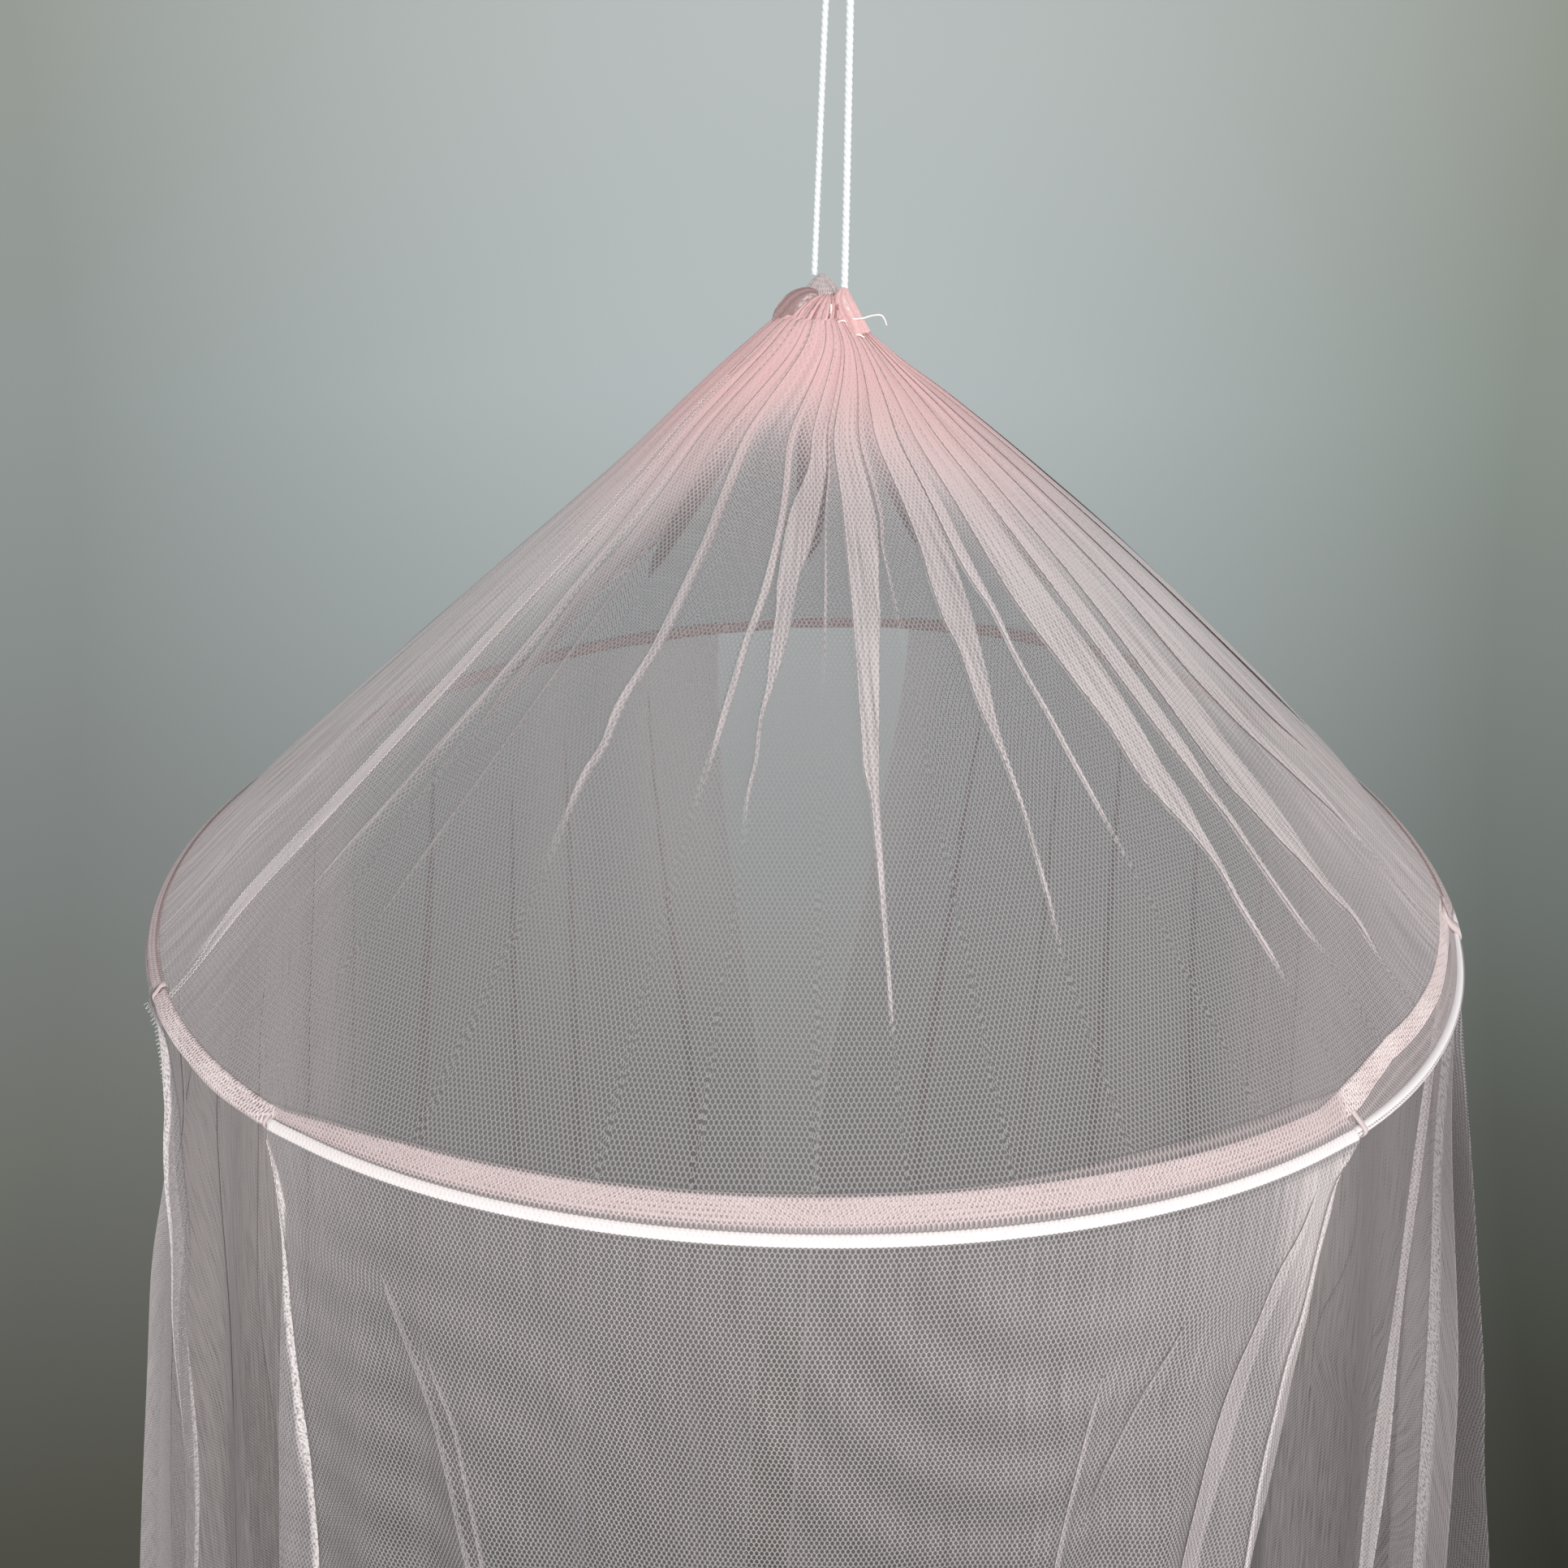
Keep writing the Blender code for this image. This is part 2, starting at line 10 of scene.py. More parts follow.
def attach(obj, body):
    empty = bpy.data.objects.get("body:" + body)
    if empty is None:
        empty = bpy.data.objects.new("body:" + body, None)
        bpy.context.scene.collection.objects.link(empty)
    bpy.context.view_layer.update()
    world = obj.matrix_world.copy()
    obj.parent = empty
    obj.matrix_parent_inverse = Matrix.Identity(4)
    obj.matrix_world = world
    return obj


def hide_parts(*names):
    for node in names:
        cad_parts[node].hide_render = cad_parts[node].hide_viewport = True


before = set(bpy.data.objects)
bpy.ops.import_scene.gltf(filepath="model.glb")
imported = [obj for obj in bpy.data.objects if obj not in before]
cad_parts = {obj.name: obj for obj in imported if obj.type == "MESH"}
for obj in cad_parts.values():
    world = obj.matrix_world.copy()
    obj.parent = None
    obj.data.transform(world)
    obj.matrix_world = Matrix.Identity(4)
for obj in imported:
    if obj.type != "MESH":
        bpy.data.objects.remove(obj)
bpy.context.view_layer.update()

# Metres. The origin is the hang point inside the top of the cord's loop, and the front is at -Y.
# Angles round the hoop are degrees from the front, positive toward +X.

hoopRadius = 0.3
hoopWire = 0.0042
hoopZ = -0.392
crownRise = 0.254
crownZ = hoopZ + crownRise
coneSlope = math.atan2(crownRise, hoopRadius)
skirtLength = 2.05
# How the hoop bows outward and how it sags: (waves in a turn, cosine part, sine part).
hoopSpread = [(2, -0.0005, -0.0041), (3, -0.0028, 0.0015)]
hoopLift = [(1, 0.0002, 0.0032), (2, 0.0052, -0.0025), (3, 0.0021, 0.0011)]


def smooth(t):
    t = np.clip(t, 0.0, 1.0)
    return t * t * (3 - 2 * t)


def hump(x, width):
    return np.exp(-((x / width) ** 2))


def overlay(a, b):
    # Two nets' closeness, one over the other.
    return 1 - (1 - a) * (1 - b)


def fromTable(table, x):
    return np.interp(x, *zip(*table))


def unit(v):
    return v / np.linalg.norm(v, axis=-1, keepdims=True)


def wave(terms, angle):
    a = np.radians(angle)
    return sum(c * np.cos(order * a) + s * np.sin(order * a) for order, c, s in terms)


def ringPoints(radius, angle, height, follow=1.0):
    # Points in the cloth or the hoop. All of it follows the hoop's own bend, less near the axis.
    a = np.radians(angle)
    share = np.minimum(np.asarray(radius) / hoopRadius, 1.0)
    bent = radius + share * follow * wave(hoopSpread, angle)
    lift = share * wave(hoopLift, angle)
    return np.stack([bent * np.sin(a), -bent * np.cos(a), hoopZ + height + lift], axis=-1)


def easeThrough(rows, x, column=1):
    # A smooth curve through the rows' own values, with no overshoot between two of them.
    xs, ys = np.array([(r[0], r[column]) for r in rows], float).T
    slopes = np.diff(ys) / np.diff(xs)
    tangents = np.zeros(len(xs))
    tangents[0], tangents[-1] = slopes[0], slopes[-1]
    for i, (a, b) in enumerate(zip(slopes, slopes[1:])):
        tangents[i + 1] = 0.0 if a * b <= 0 else 2 * a * b / (a + b)
    x = np.clip(np.asarray(x, float), xs[0], xs[-1])
    i = np.clip(np.searchsorted(xs, x) - 1, 0, len(xs) - 2)
    h = xs[i + 1] - xs[i]
    t = (x - xs[i]) / h
    return ((2 * t**3 - 3 * t**2 + 1) * ys[i] + (t**3 - 2 * t**2 + t) * h * tangents[i]
            + (-2 * t**3 + 3 * t**2) * ys[i + 1] + (t**3 - t**2) * h * tangents[i + 1])


def curveThrough(values, places):
    # Catmull-Rom through the rows of values, at places that are counted in rows.
    v = np.asarray(values, float)
    v = np.concatenate([2 * v[:1] - v[1:2], v, 2 * v[-1:] - v[-2:-1]])
    i = np.minimum(places.astype(int), len(v) - 4)
    t = (places - i)[:, None]
    p0, p1, p2, p3 = (v[i + k] for k in range(4))
    return 0.5 * (2 * p1 + (p2 - p0) * t + (2 * p0 - 5 * p1 + 4 * p2 - p3) * t**2
                  + (3 * p1 - p0 - 3 * p2 + p3) * t**3)


def lengthsAlong(path):
    return np.concatenate([[0], np.cumsum(np.linalg.norm(np.diff(path, axis=0), axis=1))])


def resample(path, lengths, at):
    return np.stack([np.interp(at, lengths, path[:, k]) for k in range(3)], axis=1)


def evenPath(points, count):
    dense = curveThrough(points, np.arange(800) / 799 * (len(points) - 1))
    lengths = lengthsAlong(dense)
    return resample(dense, lengths, np.linspace(0, lengths[-1], count)), lengths[-1]


# Objects.

def addObject(name, data):
    thing = bpy.data.objects.new(name, data)
    bpy.context.scene.collection.objects.link(thing)
    return thing


# The camera comes first.

cameraSetup = {"place": (-0.0147, -0.6719, -0.0444), "pitch": -25.51, "roll": 1.21, "lens": 35, "sensor": 36}


def makeCamera():
    data = bpy.data.cameras.new("camera")
    data.lens = cameraSetup["lens"]
    data.sensor_width = cameraSetup["sensor"]
    data.clip_start = 0.01
    camera = addObject("camera", data)
    camera.matrix_world = (Matrix.Translation(cameraSetup["place"])
                           @ Matrix.Rotation(math.radians(90 + cameraSetup["pitch"]), 4, "X")
                           @ Matrix.Rotation(math.radians(cameraSetup["roll"]), 4, "Z"))
    bpy.context.scene.camera = camera


makeCamera()


# Nodes. Sums written with signals add the maths nodes they stand for.

class Signal:
    def __init__(self, socket):
        self.socket = socket

    def maths(self, operation, a, b):
        kind = "VectorMath" if self.socket.type == "VECTOR" else "Math"
        return addNode(self.socket.id_data, kind, {0: a, 1: b}, operation=operation)

    __add__ = lambda self, other: self.maths("ADD", self, other)
    __radd__ = lambda self, other: self.maths("ADD", other, self)
    __sub__ = lambda self, other: self.maths("SUBTRACT", self, other)
    __rsub__ = lambda self, other: self.maths("SUBTRACT", other, self)
    __mul__ = lambda self, other: self.maths("MULTIPLY", self, other)
    __truediv__ = lambda self, other: self.maths("DIVIDE", self, other)

    def clamped(self):
        self.socket.node.use_clamp = True
        return self

    def stretched(self, low, high, toLow=0.0, toHigh=1.0, curve="LINEAR"):
        return addNode(self.socket.id_data, "MapRange", {
            "Value": self, "From Min": low, "From Max": high, "To Min": toLow, "To Max": toHigh},
            interpolation_type=curve)

    def noise(self, scale=1.0, detail=1.0, roughness=0.5, sides="2D"):
        return addNode(self.socket.id_data, "TexNoise", {
            "Vector": self, "Scale": scale, "Detail": detail, "Roughness": roughness}, noise_dimensions=sides)


def join(value, socket):
    if isinstance(value, Signal):
        socket.id_data.links.new(value.socket, socket)
    else:
        socket.default_value = value


def addNode(tree, kind, inputs=(), output=0, **settings):
    node = tree.nodes.new(kind if "Node" in kind else "ShaderNode" + kind)
    for key, value in settings.items():
        setattr(node, key, value)
    for key, value in dict(inputs).items():
        join(value, node.inputs[key])
    return Signal(node.outputs[output])


def mixColours(add, factor, a, b):
    a, b = (c if isinstance(c, Signal) else (*c, 1) for c in (a, b))
    return add("Mix", {0: factor, 6: a, 7: b}, 2, data_type="RGBA")


def startTree(name, kind, inputs, output):
    tree = bpy.data.node_groups.new(name, kind)
    for label, (socketKind, value) in inputs.items():
        socket = tree.interface.new_socket(label, in_out="INPUT", socket_type="NodeSocket" + socketKind)
        if value is not None:
            socket.default_value = value
    tree.interface.new_socket(output[0], in_out="OUTPUT", socket_type="NodeSocket" + output[1])
    given, result = tree.nodes.new("NodeGroupInput"), tree.nodes.new("NodeGroupOutput")
    return tree, partial(addNode, tree), {s.name: Signal(s) for s in given.outputs}, result.inputs[0]


def startMaterial(name, roughness):
    material = bpy.data.materials.new(name)
    material.use_nodes = True
    shader = material.node_tree.nodes["Principled BSDF"].inputs
    shader["Roughness"].default_value = roughness
    return material, shader, partial(addNode, material.node_tree)


# Edge is the pale colour along folds and hems, partly a painted highlight on the folds' ridges.
netLook = {
    "pitch": 0.00176, "holeWide": 0.00062, "holeTall": 0.00088, "soft": 0.32, "roughness": 0.75,
    "thread": (0.28, 0.258, 0.262), "stacked": (0.56, 0.505, 0.5), "gathered": (0.735, 0.465, 0.455),
    "edge": (0.8, 0.74, 0.73), "streakScale": (900, 18, 0), "streakDepth": 0.9, "foldClose": 0.8,
}


def makeWeaveGroup():
    # Staggered rows of holes in a knitted net, on cloth coordinates in metres.
    tree, add, given, result = startTree("weave", "ShaderNodeTree", {
        "cloth": ("Vector", None), "pitch": ("Float", netLook["pitch"]), "holeWide": ("Float", 0.0007),
        "holeTall": ("Float", 0.001), "soft": ("Float", 0.12)}, ("thread", "Float"))
    cell = add("CombineXYZ", {0: given["pitch"], 1: given["pitch"] * 2.0, 2: 1.0})
    hole = add("CombineXYZ", {0: given["holeWide"], 1: given["holeTall"], 2: 1.0})
    place = given["cloth"] * (1, 1, 0) / cell
    reach = []
    for shift in (0.5, 0.0):
        inside = add("VectorMath", {0: place + (shift, shift, 0.5)}, operation="FRACTION")
        centred = (inside - (0.5, 0.5, 0.5)) * cell / hole
        reach.append(add("VectorMath", {0: centred}, "Value", operation="LENGTH"))
    nearest = reach[0].maths("MINIMUM", *reach)
    soft = given["soft"]
    join(nearest.stretched(1.0 - soft, 1.0 + soft, curve="SMOOTHSTEP"), result)
    return tree


weaveGroup = makeWeaveGroup()


def makeNetMaterial(name, look):
    # Knitted net. Its holes close where the cloth is gathered (dense) and along a fold's edge (fold).
    # It is pinker where many layers lie together (pink).
    material, shader, add = startMaterial(name, look["roughness"])
    cloth, flow = add("UVMap", uv_map="cloth"), add("UVMap", uv_map="flow")
    line, close, pinkness = (add("Attribute", {}, "Fac", attribute_name=a) for a in ("fold", "dense", "pink"))
    # The folds are speckled where the net is gathered, and even where it is plain.
    grain = (cloth * (620, 620, 1)).noise().stretched(0.36, 0.64)
    grain = (grain - 0.75) * (close * 1.6).clamped() + 0.75
    fold = (line * (grain * 1.35 + 0.18)).clamped()
    holes = {key: look[key] for key in ("holeWide", "holeTall", "soft")}
    thread = add("Group", {"cloth": cloth, **holes}, node_tree=weaveGroup)
    streak = (flow * look["streakScale"]).noise(detail=3.0, roughness=0.6).stretched(0.3, 0.7)
    swing = (streak - 0.5) * look["streakDepth"]
    bare = line * (1.0 - grain) * 0.75
    gathered = (close * ((swing + 1.0) * (1.0 - bare))).clamped()
    closed = (gathered + fold * look["foldClose"]).clamped()
    join(1.0 - (1.0 - thread) * (1.0 - closed), shader["Alpha"])
    pink = (pinkness * (swing * 0.5 + 1.0)).clamped()
    cream = mixColours(add, closed.stretched(0.0, 0.6), look["thread"], look["stacked"])
    tint = mixColours(add, pink, cream, look["gathered"])
    # Along folds the colour goes toward the edge colour: partly a painted highlight on the ridges, partly the
    # paler look of doubled net, serged hems and the hoop behind the holes.
    join(mixColours(add, fold, tint, look["edge"]), shader["Base Color"])
    shader["Specular IOR Level"].default_value = 0.2
    return material


def makePlainMaterial(name, colour, roughness, grain=0.0, grainScale=900.0, bump=0.0):
    material, shader, add = startMaterial(name, roughness)
    noise = add("TexCoord", {}, "Object").noise(grainScale, 3.0, sides="3D")
    dark = tuple(c * (1 - grain) for c in colour)
    join(mixColours(add, noise, dark, colour), shader["Base Color"])
    if bump:
        join(add("Bump", {"Height": noise, "Strength": bump, "Distance": 0.0004}), shader["Normal"])
    return material


# Meshes.

def gridObject(name, points, material, uvs=(), attributes=(), around=False, through=False, tip=None,
               root=None):
    # A surface from a grid of points (rows, columns, 3). Around joins the last column to the first,
    # through joins the last row to the first, and root and tip close the first and last rows to a point.
    rows, columns = points.shape[:2]
    spans = columns if around else columns - 1
    index = np.arange(rows * columns).reshape(rows, columns)
    nextColumn = np.roll(index, -1, axis=1)
    corners = index, nextColumn, np.roll(nextColumn, -1, axis=0), np.roll(index, -1, axis=0)
    faces = np.stack(corners, axis=-1)[:rows if through else rows - 1, :spans].reshape(-1, 4).tolist()
    vertices = points.reshape(-1, 3).tolist()
    for end, a, b in ((tip, index[-1], nextColumn[-1]), (root, nextColumn[0], index[0])):
        if end is not None:
            vertices.append(tuple(end))
            faces += [[int(a[i]), int(b[i]), len(vertices) - 1] for i in range(spans)]
    mesh = bpy.data.meshes.new(name)
    mesh.from_pydata(vertices, [], faces)
    for key, given in dict(uvs).items():
        # One grid of corners, or one for the faces' left sides and one for their right sides.
        left, right = given if isinstance(given, tuple) else (given[:, :-1], given[:, 1:])
        corners = np.stack([left[:-1], right[:-1], right[1:], left[1:]], axis=2).reshape(-1, 2)
        corners = np.concatenate([corners, np.zeros((len(mesh.loops) - len(corners), 2))])
        mesh.uv_layers.new(name=key).data.foreach_set("uv", corners.astype(np.float32).ravel())
    for key, values in dict(attributes).items():
        flat = np.broadcast_to(np.asarray(values, np.float32), (rows, columns)).ravel()
        flat = np.concatenate([flat, np.ones(len(mesh.vertices) - len(flat), np.float32)])
        mesh.attributes.new(key, "FLOAT", "POINT").data.foreach_set("value", flat)
    mesh.shade_smooth()
    mesh.materials.append(material)
    return addObject(name, mesh)


def clothMap(across, down):
    return np.stack(np.broadcast_arrays(across, down), axis=-1)


def netObject(name, points, material, maps, dense, fold, pink, **ends):
    cloth, flow = maps if isinstance(maps, list) else (maps, maps)
    return gridObject(name, points, material, uvs={"cloth": cloth, "flow": flow},
                      attributes={"dense": dense, "fold": fold, "pink": pink}, **ends)


def tubePoints(path, ring):
    # Rings of points round a path, carried along it without twisting.
    tangents = unit(np.gradient(path, axis=0))
    side = np.cross(tangents[0], (0.0, 1.0, 0.0))
    if np.linalg.norm(side) < 0.1:
        side = np.cross(tangents[0], (1.0, 0.0, 0.0))
    sides = []
    for tangent in tangents:
        side = unit(side - tangent * side.dot(tangent))
        sides.append(side)
    theta = np.linspace(0, 2 * np.pi, ring.shape[1], endpoint=False)
    right, up = ((ring * turn)[..., None] for turn in (np.cos(theta), np.sin(theta)))
    return path[:, None] + np.array(sides)[:, None] * right + np.cross(tangents, sides)[:, None] * up


def tubeObject(name, path, ring, material):
    return gridObject(name, tubePoints(path, ring), material, around=True, root=path[0], tip=path[-1])


def mendFaces(thing):
    # Merges doubled points and turns the faces outward.
    work = bmesh.new()
    work.from_mesh(thing.data)
    bmesh.ops.remove_doubles(work, verts=work.verts, dist=0.000001)
    bmesh.ops.recalc_face_normals(work, faces=work.faces)
    work.to_mesh(thing.data)
    work.free()


def sheetArea(thing):
    return sum(face.area for face in thing.data.polygons)


# Overlock stitches along a cut edge.

stitchLook = {"pitch": 0.0022, "thread": 0.00013, "seed": 7, "colour": (0.86, 0.82, 0.80)}


def makeStitchTree():
    # One bowed loop of thread at each point, turned by the point's own rotation.
    tree, add, given, result = startTree("stitches", "GeometryNodeTree", {
        "Points": ("Geometry", None), "Pitch": ("Float", None), "Width": ("Float", None),
        "Thread": ("Float", None), "Seed": ("Int", None), "Material": ("Material", None)},
        ("Stitches", "Geometry"))
    pitch, width = given["Pitch"], given["Width"]
    rise = width * 0.22
    corners = [add("CombineXYZ", {0: x, 1: y, 2: z}) for x, y, z in (
        (pitch * -0.45, width, rise), (0.0, width * -0.7, rise * 1.2), (pitch * 0.45, width, rise))]
    bow = add("GeometryNodeCurveQuadraticBezier",
              {"Resolution": 5, "Start": corners[0], "Middle": corners[1], "End": corners[2]})
    section = add("GeometryNodeCurvePrimitiveCircle", {"Resolution": 4, "Radius": given["Thread"]})
    thread = add("GeometryNodeCurveToMesh", {"Curve": bow, "Profile Curve": section, "Fill Caps": True})
    uneven = add("FunctionNodeRandomValue", {"Seed": given["Seed"], 2: 0.82, 3: 1.12}, 1, data_type="FLOAT")
    turn = add("GeometryNodeInputNamedAttribute", {"Name": "turn"}, data_type="FLOAT_VECTOR")
    placed = add("GeometryNodeInstanceOnPoints",
                 {"Points": given["Points"], "Instance": thread, "Rotation": turn, "Scale": uneven})
    whole = add("GeometryNodeRealizeInstances", {0: placed})
    join(add("GeometryNodeSetMaterial", {0: whole, "Material": given["Material"]}), result)
    return tree


def stitchedEdges(name, edges, width, pitch=stitchLook["pitch"]):
    # Edges are pairs of point rows: the cut edge itself and a line beside it in the cloth.
    places, turns = [], []
    for edge, inside in edges:
        lengths = lengthsAlong(edge)
        at = np.arange(pitch / 2, lengths[-1], pitch)
        spot, inner = (resample(row, lengths, at) for row in (edge, inside))
        along = unit(np.gradient(spot, axis=0))
        inward = inner - spot
        inward = unit(inward - along * (inward * along).sum(axis=1)[:, None])
        normal = np.cross(along, inward)
        # The bow lies on the outside of the cloth.
        facing = np.sign((normal * spot * (1, 1, 0)).sum(axis=1))[:, None]
        places.append(spot)
        frames = np.stack([along * facing, inward, normal * facing], axis=2)
        turns += [tuple(Matrix(f.tolist()).to_euler()) for f in frames]
    mesh = bpy.data.meshes.new(name)
    mesh.from_pydata(np.concatenate(places).tolist(), [], [])
    turn = mesh.attributes.new("turn", "FLOAT_VECTOR", "POINT")
    turn.data.foreach_set("vector", np.array(turns, np.float32).ravel())
    carrier = addObject(name + "_points", mesh)
    modifier = carrier.modifiers.new("stitches", "NODES")
    modifier.node_group = stitchTree
    values = {"Pitch": pitch, "Width": width, "Thread": stitchLook["thread"], "Seed": stitchLook["seed"],
              "Material": stitchMaterial}
    for item in stitchTree.interface.items_tree:
        if item.in_out == "INPUT" and item.name in values:
            modifier[item.identifier] = values[item.name]
    ready = carrier.evaluated_get(bpy.context.evaluated_depsgraph_get())
    made = bpy.data.meshes.new_from_object(ready)
    carrier.modifiers.remove(modifier)
    bpy.data.objects.remove(carrier)
    made.name = name
    made.shade_smooth()
    print(name, len(turns), "stitches", len(made.polygons), "faces")
    piece = addObject(name, made)
    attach(piece, "root")
    return piece


# The cord's two legs, from the left of the crown over the hang point to the right.

cordLook = {"diameter": 0.0032, "points": 560, "sides": 18, "lobes": 3, "lobeDepth": 0.34,
            "turnLength": 0.0078, "colour": (0.84, 0.87, 0.88)}
cordRoute = [
    (-0.0064, 0.0020, crownZ + 0.0106),
    (-0.0060, 0.0020, -0.1000),
    (-0.0052, 0.0015, -0.0500),
    (-0.0046, 0.0008, -0.0160),
    (-0.0038, 0.0003, -0.0040),
    (0.0000, 0.0000, 0.0016),
    (0.0038, -0.0003, -0.0040),
    (0.0046, -0.0008, -0.0160),
    (0.0052, -0.0015, -0.0500),
    (0.0060, -0.0020, -0.1000),
    (0.0064, -0.0020, crownZ + 0.0040),
]


def buildCord():
    material = makePlainMaterial("cordTwist", cordLook["colour"], 0.6, grain=0.12, grainScale=2500, bump=0.3)
    path, length = evenPath(cordRoute, cordLook["points"])
    along = np.linspace(0, 1, len(path))[:, None]
    # The right leg carries the load, so the left one is slacker and looks thinner.
    radius = cordLook["diameter"] * (0.43 + 0.07 * smooth(along * 4 - 1.5))
    theta = np.linspace(0, 2 * np.pi, cordLook["sides"], endpoint=False)
    turned = theta + length / cordLook["turnLength"] * 2 * np.pi * along
    lobe = np.abs(np.cos(cordLook["lobes"] / 2 * turned))
    ring = radius * (1 - cordLook["lobeDepth"] + cordLook["lobeDepth"] * lobe)
    cord = tubeObject("cord_twist", path, ring, material)
    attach(cord, "root")
    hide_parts("hang_cord")
    print("cord", round(length, 4))


buildCord()
stitchMaterial = makePlainMaterial("stitchThread", stitchLook["colour"], 0.7)
stitchTree = makeStitchTree()


# Rows of cloth with narrow folds in them.

layerGap = 0.0006
edgeWidth = 0.0006


def tuck(*edges, dense=0.15, bright=0.5, fade=0.03, grow=None, seam=False):
    # Edges are (depth, left place, right place): angles, or on the side panels places along the folds.
    # Fade and grow are the lengths over which it ends below and begins above.
    return {"edges": edges, "dense": dense, "bright": bright, "fade": fade, "grow": grow, "seam": seam}


def clothColumns(start, end, tucks, at, radius, fine, flaps=(None, None)):
    # Every column of the cloth at every row: its angle, height over the cloth, fold brightness, density
    # and span. A tuck is a Z fold: on to its right edge, back to its left one, and on over the top.
    # A flap is a free edge folded back over the cloth, given as the angle of the free edge.
    # Fine is how many columns there are to a degree of plain cloth.
    zero = np.zeros(len(at))
    stops, spans = [], []

    def goTo(place, level, bright, count=0, dense=0.0):
        # Count is left out where plain cloth leads to the place.
        if stops:
            plainCount = max(5, int(fine * np.mean(place - stops[-1][0])))
            spans.append((count or plainCount, dense + zero, not count))
        stops.append((place + zero, level + zero, bright + zero))

    if flaps[0] is None:
        goTo(start, 0, 0)
    else:
        goTo(flaps[0], 1.4, 0.3)
        goTo(start, 0.7, 0.45, 7, 0.12)
    for fold in tucks:
        left, right = (easeThrough(fold["edges"], at, side) for side in (1, 2))
        right = np.maximum(right, left + 0.04)
        q = smooth((fold["edges"][-1][0] - at) / fold["fade"])
        if fold["grow"]:
            q = q * smooth((at - fold["edges"][0][0]) / fold["grow"])
        dense, bright, width = fold["dense"] * q, fold["bright"] * q, right - left
        goTo(left, 0, 0)
        goTo(left + width * (1 - (1 - q) * 2 / 3), q, bright * 0.5, 5, dense)
        goTo(left + width * (1 - q) * 2 / 3, 2 * q, bright, 5, dense)
        goTo(right, 2 * q, 0, 5, dense)
    if flaps[1] is None:
        goTo(end, 0, 0)
    else:
        goTo(end, 0.7, 0.45)
        goTo(flaps[1], 1.4, 0.3, 7, 0.12)
    columns, strip = [], []
    for i, (count, dense, plain) in enumerate(spans):
        (a0, l0, f0), (a1, l1, f1) = stops[i:i + 2]
        metres = np.maximum(np.abs(np.radians(a1 - a0)) * radius, 1e-5)
        e = np.minimum(edgeWidth / metres, 0.28)
        for k in range(count + (i == len(spans) - 1)):
            f = zero if k == 0 else zero + 1 if k == count else e + (1 - 2 * e) * (k - 1) / max(count - 2, 1)
            level = l0 * (1 - smooth(3 * f)) + l1 * (1 - smooth(3 * (1 - f))) if plain else l0 + (l1 - l0) * f
            columns.append((a0 + (a1 - a0) * f, level, f0 if k == 0 else f1 if k == count else zero, dense))
            strip.append(i)
    return [np.stack([c[j] for c in columns], axis=1) for j in range(4)] + [np.array(strip), stops]


# The stitched band at the cone's foot.

# Sections of the band: radius and height of its lower edge and of its upper one.
bandSeat = (0.2972, 0.005, 0.294, 0.0135)
bandInside = (0.297, -0.003, 0.2942, 0.0055)
bandClose = (0.2975, 0.0031, 0.2951, 0.0098)
bandOver = (0.3036, 0.0034, 0.3018, 0.0104)
bandOutside = (0.3036, -0.0034, 0.3026, 0.0056)
bandKeys = [
    (-166, bandSeat), (-161, bandInside), (-71, bandInside), (-65, bandClose), (-60, bandClose),
    (-59, bandOver), (-57.6, bandOutside), (-43.9, bandOutside), (-42.6, bandOver), (-41.6, bandClose),
    (-40.4, (0.299, 0.0016, 0.2974, 0.0056)), (-39, (0.299, 0.0016, 0.2974, 0.0056)),
    (-35, (0.298, 0.003, 0.2962, 0.0084)), (-28, (0.2979, 0.0031, 0.2949, 0.011)),
    (-20, (0.2976, 0.0038, 0.2946, 0.0118)), (-5, (0.2974, 0.0043, 0.2944, 0.0125)), (12, bandSeat),
    (37, bandSeat), (42, (0.296, 0.0048, 0.2896, 0.014)), (46, (0.2918, 0.0048, 0.287, 0.0142)),
    (50, (0.2896, 0.005, 0.2858, 0.0142)), (55, (0.2912, 0.005, 0.2872, 0.014)),
    (62, (0.293, 0.005, 0.2884, 0.0138)), (70, (0.2944, 0.005, 0.2892, 0.0136)),
    (74, (0.2958, 0.005, 0.29, 0.0134)), (79, bandSeat), (85, bandInside), (160, bandInside),
    (165, bandSeat), (171, bandSeat), (175, bandInside), (184, bandInside), (188, bandSeat),
]
casingRadius = 0.0029
bandRadius = 0.298


def bandFrame(angle):
    # The flat band's lower and upper edges as (radius, height), its face's outward direction and its width,
    # and how far it is a casing: on the back and the left it has the hoop in it, elsewhere it has come off.
    angles = [a + turn for turn in (-360, 0, 360) for a, s in bandKeys]
    section = np.array([np.interp(angle, angles, [s[j] for a, s in bandKeys] * 3) for j in range(4)])
    low, high = section[:2], section[2:]
    width = np.hypot(*(high - low))
    signed = (np.asarray(angle) + 180) % 360 - 180
    casing = np.maximum(smooth((-39.4 - signed) / 1.6), smooth((signed - 76.5) / 3.0))
    return low, high, np.array([high[1] - low[1], low[0] - high[0]]) / width, width, casing


def cased(flat, onHoop, casing):
    # A place on the flat band, or its place round the hoop where the band is a casing.
    return [f + (h - f) * casing for f, h in zip(flat, onHoop)]


# The cone of net above the hoop.

